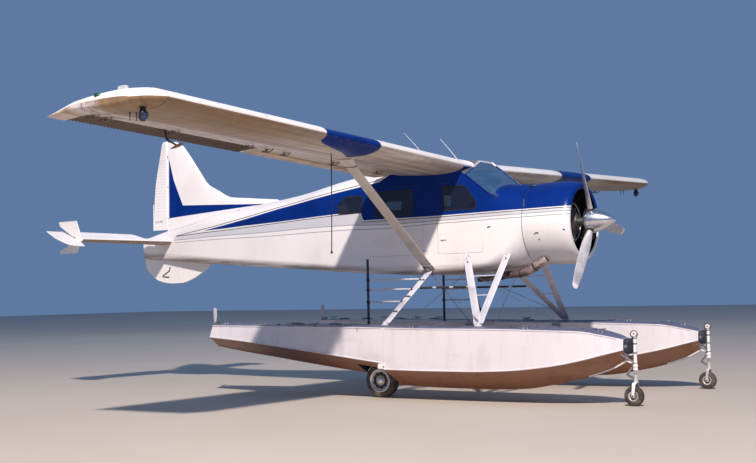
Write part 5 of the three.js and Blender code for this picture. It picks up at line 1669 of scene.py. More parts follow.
def add_float_hulls():
    finishes = (FLOAT_SIDE, FLOAT_BOTTOM_SHADE, FLOAT_DECK_SHADE)
    fore = Form().skin([float_ring(FORE_ROWS, a) for a in spread(-0.93, 2.56, 80)],
                       finish_of=float_finish)
    made = fore.make_pair("float_fore", "airframe", "float_paint", *finishes,
                          replaced=["float_*"], sharp=25)
    rear = Form().skin([float_ring(REAR_ROWS, a) for a in spread(2.562, 6.05, 60)],
                       finish_of=float_finish)
    well = Form().box((aft(WELL_REAR), -FLOAT_Y - WELL_HALF, 0.1),
                      (aft(2.56), -FLOAT_Y + WELL_HALF, WELL_TOP))
    # The well's inside is dark painted shade
    hollow = carve(rear.solid("rear", *finishes, JOINT_AND_HOLLOW_SHADE), [well.solid("well", JOINT_AND_HOLLOW_SHADE)])
    keep_pair(hollow, "float_rear", "airframe", "float_paint", sharp=25)
    return made[0], hollow


def add_float_details(fore, rear):
    skin = Skin(fore, rear)
    rivets = Form()

    def both_sides(spots):
        """Surface points on the float's outer side, then on its inner one."""
        return skin.side(spots), skin.seen([(x, 0, z) for x, z in spots], (0, -1, 0))

    for rows, first, last in ((FORE_ROWS, -0.85, 2.54), (REAR_ROWS, 2.6, 6.03)):
        stations = spread(first, last, round((last - first) / 0.065))
        for column, offset in ((3, 0.04), (2, -0.045)):
            line = [(aft(a), float_level(rows, a, column) + offset) for a in stations]
            for hits in both_sides(line):
                rivets.studs(hits, 0.0055, 0.0022, 0)
        count = round((last - first) / 0.58)
        for back in spread(first + 0.12, last - 0.1, count):
            chine, deck = float_level(rows, back, 3), float_level(rows, back, 2)
            column = [(aft(back), z) for z in spread(chine + 0.05, deck - 0.06, 10)]
            for hits in both_sides(column):
                rivets.studs(hits, 0.0055, 0.0022, 0)
            half = float_level(rows, back, 1)
            under = [(aft(back), -FLOAT_Y + y) for y in spread(-half * 0.9, half * 0.9, 14)]
            rivets.studs(skin.up(under), 0.006, 0.0022, 1)
            over = [(aft(back), -FLOAT_Y + y) for y in spread(-0.36, 0.36, 12)]
            rivets.studs(skin.down([o for o in over if abs(o[1] + FLOAT_Y) < half - 0.06]),
                         0.0055, 0.002, 2)
            seam = [(aft(back) + 0.018, z) for z in spread(chine + 0.03, deck - 0.04, 8)]
            for hits in both_sides(seam):
                rivets.ribbon(hits, 0.006, 0.0012, 0)
        # Keel bar, and rubbing strips at the deck's edges
        keel = [Vector((aft(a), -FLOAT_Y, float_level(rows, a, 4) - 0.004)) for a in stations]
        rivets.tube(keel, 0.011, 8, 1)
        for side in (-1, 1):
            edge = [Vector((aft(a), -FLOAT_Y + side * (float_level(rows, a, 0) + 0.002),
                            float_level(rows, a, 2) - 0.018)) for a in stations]
            rivets.tube(edge, 0.007, 8, 0)
            chine_rail = [Vector((aft(a), -FLOAT_Y + side * (float_level(rows, a, 1) + 0.004),
                                  float_level(rows, a, 3) + 0.006)) for a in stations]
            rivets.tube(chine_rail, 0.009, 8, 0)
    rivets.make_pair("float_seams", "airframe", "float_paint", FLOAT_SIDE, FLOAT_BOTTOM_SHADE,
                     FLOAT_DECK_SHADE)

    deck = Form()

    def on_deck(back, across):
        return skin.down([(aft(back), -FLOAT_Y + across)])[0]

    # Round hatches over the compartments, with their handles and pump-out plugs
    for back in (-0.42, 0.42, 1.95, 3.72, 4.42, 5.12, 5.6):
        point, normal = on_deck(back, 0.0)
        deck.turned([(0.098, -0.004), (0.1, 0.006), (0.092, 0.012), (0.08, 0.009), (0.0, 0.011)],
                    point, normal, 32, 0)
        deck.bolts(point, normal, 0.092, 0.011, 12, 0.005, 0.003)
        grip = [point + Vector((0.03 * k, 0, 0.014 + 0.016 * (1 - abs(k))))
                for k in (-1, -0.8, 0, 0.8, 1)]
        deck.tube(grip, 0.005, 8, 1)
        if -0.3 < back < 4.8:
            point, normal = on_deck(back + 0.2, -0.24)
            deck.turned([(0.021, -0.002), (0.021, 0.007), (0.014, 0.013), (0, 0.014)], point,
                        normal, 20, 2)
    # Cleats: a bar on two feet
    for back, across in ((-0.62, -0.12), (0.35, -0.36), (2.15, -0.36), (3.84, -0.38),
                         (4.29, -0.36), (4.95, -0.295), (5.86, 0.0)):
        point, normal = on_deck(back, across)
        for end in (-1, 1):
            foot = point + FORWARD * 0.028 * end
            deck.tube([foot - UP * 0.004, foot + UP * 0.012, foot + UP * 0.03],
                      [0.014, 0.009, 0.008], 12, 1)
        bar = [point + Vector((0.085 * k, 0, 0.034 + 0.012 * k * k)) for k in spread(-1, 1, 9)]
        deck.tube(bar, [0.006, 0.008, 0.0095, 0.0105, 0.011, 0.0105, 0.0095, 0.008, 0.006], 12, 1)
    # Grip strips to walk on
    for first, last in ((0.55, 1.05), (1.45, 1.78), (2.12, 2.62), (2.98, 3.55), (3.88, 4.28)):
        for across in (-0.2, 0.2):
            points = [on_deck(a, across) for a in spread(first, last, 8)]
            deck.ribbon(points, 0.11, 0.0022, 2)
    # Bow bumper and its bolts
    rows = [(0.925, 0.112, 0.789, 0.089), (0.950, 0.121, 0.780, 0.099),
            (0.975, 0.125, 0.776, 0.104), (1.000, 0.119, 0.778, 0.096),
            (1.012, 0.100, 0.781, 0.082), (1.022, 0.068, 0.782, 0.060)]
    rings = []
    for ahead in (*spread(0.925, 1.01, 10), 1.016, 1.02, 1.022):
        half, middle, tall = smooth(rows, ahead)
        rings.append([(aft(-ahead), -FLOAT_Y + half * math.copysign(abs(c) ** 0.45, c),
                       middle + tall * math.copysign(abs(s) ** 0.45, s)) for c, s in arc(40)])
    deck.skin(rings, 3)
    for end in (-1, 1):
        deck.disc((aft(-0.965), -FLOAT_Y + end * 0.119, 0.78), PORT * end, 0.022, 0.008, 1)
    # Pale guard over the stem below the bumper
    stem = [Vector((aft(a), -FLOAT_Y, float_level(FORE_ROWS, a, 4) - 0.003))
            for a in spread(-0.925, -0.40, 12)]
    deck.strip(stem, [(FORWARD * 0.5 - UP).normalized()] * 12, 0.05, 0.008, 5)
    # Step lip with its drain, and the mark of a tie-down on the outer side
    for side in (-1, 1):
        lip = [(aft(2.535), 0.446), (aft(2.66), 0.452), (aft(2.655), 0.524), (aft(2.535), 0.53)]
        y = -FLOAT_Y + side * 0.459
        deck.plate(rounded(lip, 0.012), y - 0.006, y + 0.006, 5)
        deck.disc((aft(2.56), y + side * 0.0055, 0.478), PORT * side, 0.0125, 0.002, 3)
    point, normal = skin.side([(aft(3.02), 1.01)])[0]
    deck.strip([point + UP * 0.022, point - UP * 0.035], normal, 0.008, 0.004, 3)
    # Stern: transom bumper plate and lugs for the water rudder
    deck.box((aft(6.062), -FLOAT_Y - 0.10, 0.90), (aft(6.046), -FLOAT_Y + 0.10, 1.07), 5)
    for side in (-1, 1):
        deck.box_at((aft(6.062), -FLOAT_Y + side * 0.028, 1.094), (FORWARD, PORT, UP),
                    (0.09, 0.014, 0.046), 1)
        deck.disc((aft(6.092), -FLOAT_Y + side * 0.035, 1.095), PORT * side, 0.013, 0.006, 1)
    deck.make_pair("float_fittings", "airframe", "float_paint", FLOAT_DECK_SHADE, STEEL, SEAL,
                   NAVY_RUBBER, ROPE, PLAIN_WHITE, sharp=50)


# Struts, wires and steps between the floats and the hull

FRONT_FOOT = Vector((aft(1.262), -FLOAT_Y, 1.04))
FRONT_TOPS = [Vector((aft(1.25), -0.5, 2.13)), Vector((aft(1.965), -0.52, 2.12))]
REAR_FOOT = Vector((aft(2.822), -FLOAT_Y, 1.064))
REAR_TOP = Vector((aft(2.545), -0.56, 1.9))
LIFT_FOOT = Vector((aft(2.56), -0.59, 1.868))
LIFT_TOP = Vector((aft(2.593), -2.84, 3.442))


def on_rear_strut(z):
    return REAR_FOOT.lerp(REAR_TOP, (z - REAR_FOOT.z) / (REAR_TOP.z - REAR_FOOT.z))


def to_skin(skin, start, end, depth=0.012):
    """Where a strut from its foot meets the skin, and a little beyond."""
    way = (end - start).normalized()
    hit = skin.hit(start, way)
    return (hit[0] if hit else end) + way * depth


def add_fork(form, end, way, chord, thick, finish):
    """A strut's end fitting: a tapered shoe, a lug and its bolt."""
    across = way.cross(FORWARD).normalized()
    form.blade(end, end + way * 0.07, chord * 1.07, thick * 1.25, finish)
    form.box_at(end - way * 0.02, (way, across, way.cross(across)), (0.09, 0.018, 0.05), finish)
    form.rod(end - way * 0.028 - across * 0.03, end - way * 0.028 + across * 0.03, 0.011, 12,
             finish)


def wire(form, start, end, finish, radius=0.0045):
    """A bracing wire with a threaded fork at each end."""
    start, end = Vector(start), Vector(end)
    way = (end - start).normalized()
    form.rod(start, end, radius, 8, finish)
    for tip, side in ((start, 1), (end, -1)):
        form.tube([tip, tip + way * side * 0.03, tip + way * side * 0.11,
                   tip + way * side * 0.125], [0.009, 0.008, 0.008, 0.005], 10, finish)


def add_leg(form, skin, foot, top, chord, thick, reach):
    """A float strut up to the hull's skin, with a fitting at each end."""
    way = (top - foot).normalized()
    end = to_skin(skin, foot, top)
    form.blade(foot + way * 0.05, end, chord, thick, 0)
    add_fork(form, foot + way * 0.07, way, chord, thick, 0)
    add_fork(form, end - way * reach, -way, chord, thick, 0)
    return way, end


def strut_sets(shift):
    """Front V, rear leg and their wires on the starboard side."""
    skin = Skin(hull)
    front, rear = Form(), Form()
    for top in FRONT_TOPS:
        way, end = add_leg(front, skin, FRONT_FOOT, top, 0.112, 0.04, 0.035)
        for k in (0.3, 0.36):
            front.disc(end - way * k * 0.25 + FORWARD * 0.01, -PORT, 0.012, 0.022, 1)
    front.turned([(0.062, -0.02), (0.062, 0.006), (0.05, 0.016), (0.034, 0.02), (0.03, 0.05),
                  (0, 0.052)], FRONT_FOOT, UP, 28, 0)
    front.bolts(FRONT_FOOT, UP, 0.052, 0.008, 6, 0.007, 0.008)
    for share in (0.4, 0.66):
        front.rod(FRONT_FOOT.lerp(FRONT_TOPS[0], share), FRONT_FOOT.lerp(FRONT_TOPS[1], share),
                  0.009, 12, 0)
    step_z = 1.6
    step_end = FRONT_FOOT.lerp(FRONT_TOPS[1], (step_z - 1.04) / (FRONT_TOPS[1].z - 1.04))
    front.rod(on_rear_strut(step_z), step_end, 0.014, 14, 0)
    for share in (0.2, 0.5, 0.8):
        spot = on_rear_strut(step_z).lerp(step_end, share)
        way = (step_end - on_rear_strut(step_z)).normalized()
        front.tube([spot - way * 0.12, spot + way * 0.12], 0.0165, 14, 2)
    wire(front, (FRONT_FOOT.x, FRONT_FOOT.y, 1.12), on_rear_strut(1.83), 1)
    across = Vector((shift, 0, 0))
    wire(front, FRONT_FOOT.lerp(FRONT_TOPS[1], 0.71) + across,
         Vector((aft(1.24), FLOAT_Y - 0.44, 1.022)) + across, 1)

    add_leg(rear, skin, REAR_FOOT, REAR_TOP, 0.1, 0.038, 0.04)
    rear.turned([(0.052, -0.02), (0.052, 0.006), (0.042, 0.016), (0.03, 0.02), (0.026, 0.05),
                 (0, 0.052)], REAR_FOOT, UP, 28, 0)
    rear.bolts(REAR_FOOT, UP, 0.043, 0.01, 6, 0.006, 0.007)
    for z in (1.25, 1.47, 1.72):
        rear.blade(on_rear_strut(z - 0.012), on_rear_strut(z + 0.012), 0.105, 0.043, 1)
    wire(rear, on_rear_strut(1.845) + across,
         Vector((aft(2.8), FLOAT_Y - 0.44, 1.025)) + across, 1)
    return front, rear


def add_struts():
    finishes = (STRUT_PAINT, STEEL, SEAL)
    for side, shift in (("right", 0.012), ("left", -0.012)):
        for name, form in zip(("front", "rear"), strut_sets(shift)):
            form = form if side == "right" else form.mirrored()
            form.make(f"{name}_strut_set_{side}", "airframe", "float_paint", *finishes,
                      replaced=[f"{name}_float_strut_{side}"])
    for back, node in ((1.24, "front_spreader_bar"), (2.8, "rear_spreader_bar")):
        bar = Form().blade((aft(back), -1.06, 0.96), (aft(back), 1.06, 0.96), 0.09, 0.04, 0)
        for side in (-1, 1):
            bar.box_at((aft(back), side * 1.042, 0.96), (FORWARD, PORT, UP), (0.14, 0.02, 0.09), 1)
            bar.studs([(Vector((aft(back) + x, side * 1.032, 0.96 + z)), PORT * -side)
                       for x in (-0.055, 0.055) for z in (-0.03, 0.03)], 0.008, 0.006, 1)
            bar.blade((aft(back), side * 1.03, 0.96), (aft(back), side * 0.96, 0.96),
                      0.098, 0.05, 0)
        bar.make(node + "_tube", "airframe", "float_paint", STRUT_PAINT, STEEL, replaced=[node])

    ladder = Form()
    foot = Vector((aft(3.335), -1.15, 1.06))
    ladder.rod(foot, (foot.x, foot.y, 2.05), 0.02, 20, 0)
    ladder.disc((foot.x, foot.y, 2.048), UP, 0.0215, 0.008, 1)
    ladder.disc(foot - UP * 0.012, UP, 0.045, 0.018, 0)
    ladder.bolts(foot, UP, 0.034, 0.006, 4, 0.006, 0.006)
    for z in (1.4, 1.585, 1.735):
        start, end = Vector((foot.x, foot.y, z)), on_rear_strut(z)
        ladder.rod(start, end, 0.0125, 16, 2)
        ladder.disc(start - (end - start).normalized() * 0.023, end - start, 0.024, 0.05, 0)
        ladder.disc(end - (end - start).normalized() * 0.06, end - start, 0.02, 0.03, 0)
        for share in spread(0.2, 0.85, 9):
            spot = start.lerp(end, share)
            ladder.tube([spot, spot + (end - start).normalized() * 0.022], 0.0145, 16, 2)
    ladder.make_pair("ladder_frame", "airframe", "blue_paint", NAVY, STEEL, STRUT_PAINT,
                     replaced=["boarding_ladder_*"])

    lift = Form()
    way = (LIFT_TOP - LIFT_FOOT).normalized()
    under = Skin(wing_skin).hit(LIFT_TOP - way * 0.4, way)
    end = under[0] + way * 0.01
    start = Skin(hull).hit(LIFT_TOP - way * 0.5, -way)[0] - way * 0.01
    lift.blade(start, end, 0.185, 0.060, 0)
    across = way.cross(FORWARD).normalized()
    lift.blade(start, start + way * 0.1, 0.19, 0.066, 1)
    lift.blade(start + way * 0.16, start + way * 0.168, 0.189, 0.064, 2)
    # Fairing under the wing: a flared cuff over the strut's top
    rings = []
    for share in spread(0, 1, 10):
        spot = end - way * 0.17 * (1 - share)
        chord, thick = 0.195 + 0.12 * share ** 2.2, 0.068 + 0.075 * share ** 2.2
        section = Form().blade(spot, spot + way * 0.001, chord, thick)
        rings.append(section.points[:24])
    lift.skin(rings, 0)
    lift.blade(end - way * 0.182, end - way * 0.168, 0.203, 0.076, 2)
    lift.box_at(start + way * 0.02 - UP * 0.03, (way, across, way.cross(across)),
                (0.16, 0.03, 0.07), 1)
    lift.make_pair("lift_strut_tube", "airframe", "white_paint", LIFT_PAINT, STEEL, JOINT_AND_HOLLOW_SHADE,
                   replaced=["lift_strut_*"], sharp=45)


NAVY_RUBBER = paint("bumper_rubber", rgb("1d2233"), rgb("3c3f4c"), 0.8, 0.55, 6.0, 0.0)
LIFT_PAINT = float_paint("lift_strut_paint", rgb("d9cfc5"), rgb("b7a796"), rgb("8f7d6c"), 3.0)
float_fore, float_rear = add_float_hulls()
add_float_details(float_fore, float_rear)
add_struts()


# Wheels and gear legs

def add_wheel(tyre, rim, centre, radius, half, rim_radius, holes):
    """One wheel about the Y axis: a grooved tyre, and a cast rim with lightening holes."""
    groove, wall = min(0.004, radius * 0.02), radius - rim_radius
    side = [(rim_radius, half * 0.72), (rim_radius + 0.006, half * 0.86),
            (rim_radius + wall * 0.3, half * 0.985),
            (rim_radius + wall * 0.55, half),
            (radius - wall * 0.2, half * 0.93),
            (radius - wall * 0.07, half * 0.78), (radius, half * 0.58)]
    tread = []
    for edge in (0.46, 0.12):
        tread += [(radius, half * edge), (radius - groove, half * (edge - 0.02)),
                  (radius - groove, half * (edge - 0.09)), (radius, half * (edge - 0.11))]
    right = side + tread
    profile = [(r, a) for r, a in right] + [(r, -a) for r, a in reversed(right)]
    tyre.turned(profile, centre, PORT, 72, 0)
    for face in (-1, 1):
        axis = PORT * face
        plate = [(rim_radius * 0.98, half * 0.4), (rim_radius + 0.002, half * 0.7),
                 (rim_radius + 0.007, half * 0.84), (rim_radius + 0.003, half * 0.9),
                 (rim_radius * 0.93, half * 0.82), (rim_radius * 0.88, half * 0.74),
                 (rim_radius * 0.55, half * 0.70), (rim_radius * 0.42, half * 0.74),
                 (rim_radius * 0.3, half * 0.78), (rim_radius * 0.26, half * 0.86),
                 (0, half * 0.88)]
        rim.turned(curve_through(plate, 34), centre, axis, 64, 0)
        # Lightening holes: dark discs of painted shade
        for c, s in arc(holes):
            spot = Vector(centre) + Vector((c, 0, s)) * rim_radius * 0.71 + axis * half * 0.71
            rim.disc(spot, axis, rim_radius * 0.125, half * 0.05, 1)
        for c, s in arc(6):
            spot = Vector(centre) + Vector((c, 0, s)) * rim_radius * 0.38 + axis * half * 0.75
            rim.studs([(spot, axis)], rim_radius * 0.05, half * 0.09, 2)


MAIN_AXLE = Vector((aft(2.878), -FLOAT_Y, 0.25))
ARM_Y = -FLOAT_Y + 0.135
NOSE_AXLE = Vector((aft(-1.018), -FLOAT_Y, 0.129))
NOSE_LEG_X = aft(-1.046)


def add_main_gear():
    tyre, rim = Form(), Form()
    add_wheel(tyre, rim, MAIN_AXLE, 0.25, 0.09, 0.155, 9)
    # Bright flange and cap on the outer face, axle, brake disc and its bell inboard
    rim.turned(curve_through([(0.148, 0.066), (0.152, 0.08), (0.163, 0.087), (0.171, 0.083),
                              (0.172, 0.074), (0.160, 0.07)], 20),
               MAIN_AXLE, -PORT, 72, 3, loop=True)
    rim.turned([(0.045, 0.05), (0.045, 0.074), (0.038, 0.081), (0, 0.083)], MAIN_AXLE, -PORT,
               40, 3)
    rim.studs([(MAIN_AXLE + Vector((0.036 * c, -0.078, 0.036 * s)), -PORT) for c, s in arc(6)],
              0.0055, 0.004, 2)
    rim.rod(MAIN_AXLE - PORT * 0.05, MAIN_AXLE + PORT * 0.164, 0.0228, 24, 2)
    rim.turned([(0.05, 0.06), (0.05, 0.09), (0.118, 0.092), (0.118, 0.101), (0.03, 0.103)],
               MAIN_AXLE, PORT, 48, 2)
    tyre.make_pair("main_tyres", "main_wheel_body_*", "tyre", TYRE, replaced=["main_wheel_*"])
    rim.make_pair("main_rims", "main_wheel_body_*", "tyre", RIM, JOINT_AND_HOLLOW_SHADE, DARK_STEEL, CHROME,
                  sharp=45)

    arm = Form()
    x, z = MAIN_AXLE.x, MAIN_AXLE.z
    outline = [(aft(2.5625), 0.638), (aft(2.5625), 0.33), (x + 0.06, z - 0.05)]
    outline += [(x + 0.056 * c, z + 0.056 * s) for c, s in arc(14, -51, -203)]
    outline += [(x + 0.06, 0.43), (aft(2.70), 0.638)]
    arm.plate(outline, ARM_Y - 0.022, ARM_Y + 0.022, 0)
    arm.make_pair("main_arm_casting", "airframe", "dark_metal", DARK_STEEL,
                  replaced=["main_gear_arm_*"], bevel=0.006)
    details = Form()
    details.rod((aft(2.60), -FLOAT_Y - 0.24, 0.56), (aft(2.60), -FLOAT_Y + 0.24, 0.56), 0.026,
                20, 0)
    details.tube([(aft(2.66), ARM_Y + 0.045, 0.60), (x + 0.055, ARM_Y + 0.045, z + 0.11)], 0.018,
                 16, 1)
    details.tube([(aft(2.62), ARM_Y + 0.045, 0.63), (aft(2.72), ARM_Y + 0.045, 0.50)], 0.028, 16, 0)
    hose = [(x - 0.01, ARM_Y + 0.03, z + 0.05), (x - 0.05, ARM_Y + 0.04, z + 0.17),
            (x - 0.02, ARM_Y + 0.035, 0.53), (aft(2.76), ARM_Y + 0.03, 0.638)]
    details.tube(curve_through(hose, 16), 0.006, 8, 2)
    details.box_at((x + 0.085, ARM_Y - 0.03, z + 0.06), (FORWARD, PORT, UP), (0.06, 0.05, 0.085), 0)
    details.disc((x, ARM_Y + 0.022, z), PORT, 0.03, 0.012, 1, steps=6)
    details.make_pair("main_arm_parts", "airframe", "dark_metal", DARK_STEEL, CHROME, SEAL)


def add_nose_gear():
    y = -FLOAT_Y
    leg = Form()
    leg.turned([(0, 0.575), (0.0235, 0.575), (0.0235, 0.91), (0.027, 0.915), (0.027, 0.94),
                (0, 0.945)], (NOSE_LEG_X, y, 0), UP, 28, 0)
    # Lower cluster: two flanged collars and a pinch clamp over a bright piston
    leg.turned([(0, 0.462), (0.026, 0.462), (0.034, 0.468), (0.034, 0.483), (0.027, 0.488),
                (0.027, 0.505), (0.034, 0.51), (0.034, 0.532), (0.028, 0.538), (0.028, 0.575),
                (0.024, 0.582), (0, 0.583)], (NOSE_LEG_X, y, 0), UP, 32, 0)
    leg.disc((NOSE_LEG_X, y, 0.553), UP, 0.031, 0.014, 2)
    leg.rod((NOSE_LEG_X, y, 0.347), (NOSE_LEG_X, y, 0.50), 0.0158, 24, 1)
    for z in (0.68, 0.80, 0.872):
        leg.turned([(0.0235, 0), (0.0275, 0.003), (0.0275, 0.017), (0.0235, 0.02)],
                   (NOSE_LEG_X, y, z), UP, 28, 2)
        leg.box_at((NOSE_LEG_X - 0.031, y, z + 0.01), (FORWARD, PORT, UP), (0.014, 0.02, 0.016), 2)
    leg.rod((NOSE_LEG_X, y - 0.033, 0.94), (NOSE_LEG_X, y + 0.033, 0.94), 0.032, 28, 0)
    leg.rod((NOSE_LEG_X, y - 0.036, 0.94), (NOSE_LEG_X, y + 0.036, 0.94), 0.013, 16, 2)
    eye = [Vector((NOSE_LEG_X - 0.01 + 0.047 * c, y, 0.93 + 0.047 * s)) for c, s in arc(32)]
    leg.tube(eye, 0.0065, 10, 3, loop=True)
    leg.rod((NOSE_LEG_X, y, 0.53), (aft(-0.83), y, 0.635), 0.0118, 14, 0)
    leg.disc((NOSE_LEG_X - 0.02, y, 0.539), (-1, 0, 0.48), 0.017, 0.03, 2)
    leg.tube(curve_through([(NOSE_LEG_X - 0.028, y, 0.92), (NOSE_LEG_X - 0.04, y, 0.83),
                            (NOSE_LEG_X - 0.034, y, 0.72), (NOSE_LEG_X - 0.032, y, 0.6)], 18),
             0.0045, 8, 3)
    for side in (-1, 1):
        # Links that keep the piston in line
        elbow = Vector((aft(-0.925), y + side * 0.014, 0.405))
        upper = Vector((aft(-0.999), y + side * 0.02, 0.50))
        lower = Vector((aft(-1.012), y + side * 0.02, 0.36))
        for end in (upper, lower):
            way = (elbow - end).normalized()
            leg.box_at((elbow + end) / 2, (way, PORT, way.cross(PORT)),
                       ((elbow - end).length + 0.012, 0.007, 0.018), 2)
        wire(leg, (NOSE_LEG_X, y + side * 0.028, 0.56), (aft(-0.86), y + side * 0.12, 0.70), 2,
             0.0035)
    leg.rod((aft(-0.925), y - 0.02, 0.405), (aft(-0.925), y + 0.02, 0.405), 0.007, 12, 2)
    leg.make_pair("nose_leg_tube", "airframe", "white_paint", PLAIN_WHITE, CHROME, STEEL, SEAL,
                  replaced=["nose_leg_*"], sharp=45)

    fork = Form()
    fork.turned([(0.0175, 0.345), (0.0175, 0.4), (0.024, 0.4), (0.027, 0.392), (0.027, 0.335),
                 (0.034, 0.316), (0.034, 0.304), (0, 0.302)], (NOSE_LEG_X, y, 0), UP, 32, 0)
    for side in (-1, 1):
        path = [(-0.006, 0.0, 0.301), (-0.006, 0.03, 0.302), (-0.008, 0.05, 0.297),
                (-0.01, 0.0605, 0.28), (-0.014, 0.0635, 0.24), (-0.02, 0.0635, 0.19),
                (-0.026, 0.063, 0.145), (-0.028, 0.063, 0.113)]
        points = [Vector((NOSE_LEG_X + float(a), y + side * float(b), float(c)))
                  for a, b, c in curve_through(path, 26)]
        sizes = [float(v) for v in np.linspace(0.03, 0.017, len(points))]
        rings = []
        for i, point in enumerate(points):
            way = (points[min(i + 1, 25)] - points[max(i - 1, 0)]).normalized()
            thin = FORWARD.cross(way).normalized()
            rings.append([point + FORWARD * c * sizes[i] + thin * s * 0.0065 for c, s in arc(18)])
        fork.skin(rings, 2 if side < 0 else 0)
        fork.disc(NOSE_AXLE + PORT * side * 0.056, PORT * side, 0.021, 0.014, 0)
        fork.disc(NOSE_AXLE + PORT * side * 0.068, PORT * side, 0.012, 0.008, 1, steps=6)
    fork.rod(NOSE_AXLE - PORT * 0.06, NOSE_AXLE + PORT * 0.06, 0.0085, 14, 1)
    fork.make_pair("nose_fork_casting", "nose_fork_body_*", "bare_metal", RIM, BOLT, PLAIN_WHITE,
                   replaced=["nose_fork_*"], sharp=45)

    tyre, rim = Form(), Form()
    add_wheel(tyre, rim, NOSE_AXLE, 0.129, 0.046, 0.061, 6)
    tyre.make_pair("nose_tyre", "nose_wheel_body_*", "tyre", TYRE, replaced=["nose_wheel_*"])
    rim.make_pair("nose_rim", "nose_wheel_body_*", "tyre", RIM, JOINT_AND_HOLLOW_SHADE, DARK_STEEL, sharp=45)


RUDDER_GREY = float_paint("water_rudder_paint", rgb("c9c6d0"), rgb("a19daa"), rgb("7f7a86"), 5.0)


def add_water_rudders():
    form = Form()
    x, z = aft(6.092), 1.095
    outline = rounded([(x - 0.022, z), (x - 0.034, z + 0.09), (x - 0.038, z + 0.236),
                       (x - 0.010, z + 0.256), (x + 0.026, z + 0.24), (x + 0.030, z + 0.11),
                       (x + 0.008, z)], 0.008)
    form.plate(outline, -FLOAT_Y - 0.005, -FLOAT_Y + 0.005, 0)
    form.rod((x, -FLOAT_Y - 0.0195, z), (x, -FLOAT_Y + 0.0195, z), 0.016, 24, 1)
    for side in (-1, 1):
        form.strip([(x - 0.004, -FLOAT_Y + side * 0.005, z + 0.03),
                    (x - 0.006, -FLOAT_Y + side * 0.005, z + 0.22)], PORT * side, 0.02, 0.003, 0)
        spots = [(Vector((x - 0.005, -FLOAT_Y + side * 0.008, z + 0.04 + 0.03 * k)), PORT * side)
                 for k in range(6)]
        form.studs(spots, 0.004, 0.002, 1)
    form.make_pair("water_rudder_blade", "water_rudder_body_*", "float_paint", RUDDER_GREY, STEEL,
                   replaced=["water_rudder_*"], sharp=40, bevel=0.001)


add_main_gear()
add_nose_gear()
add_water_rudders()


# Cabin furniture: panel, controls and cushions

CABIN_FLOOR_Z = FLOOR_TOP + 0.0003  # just clear of the floor


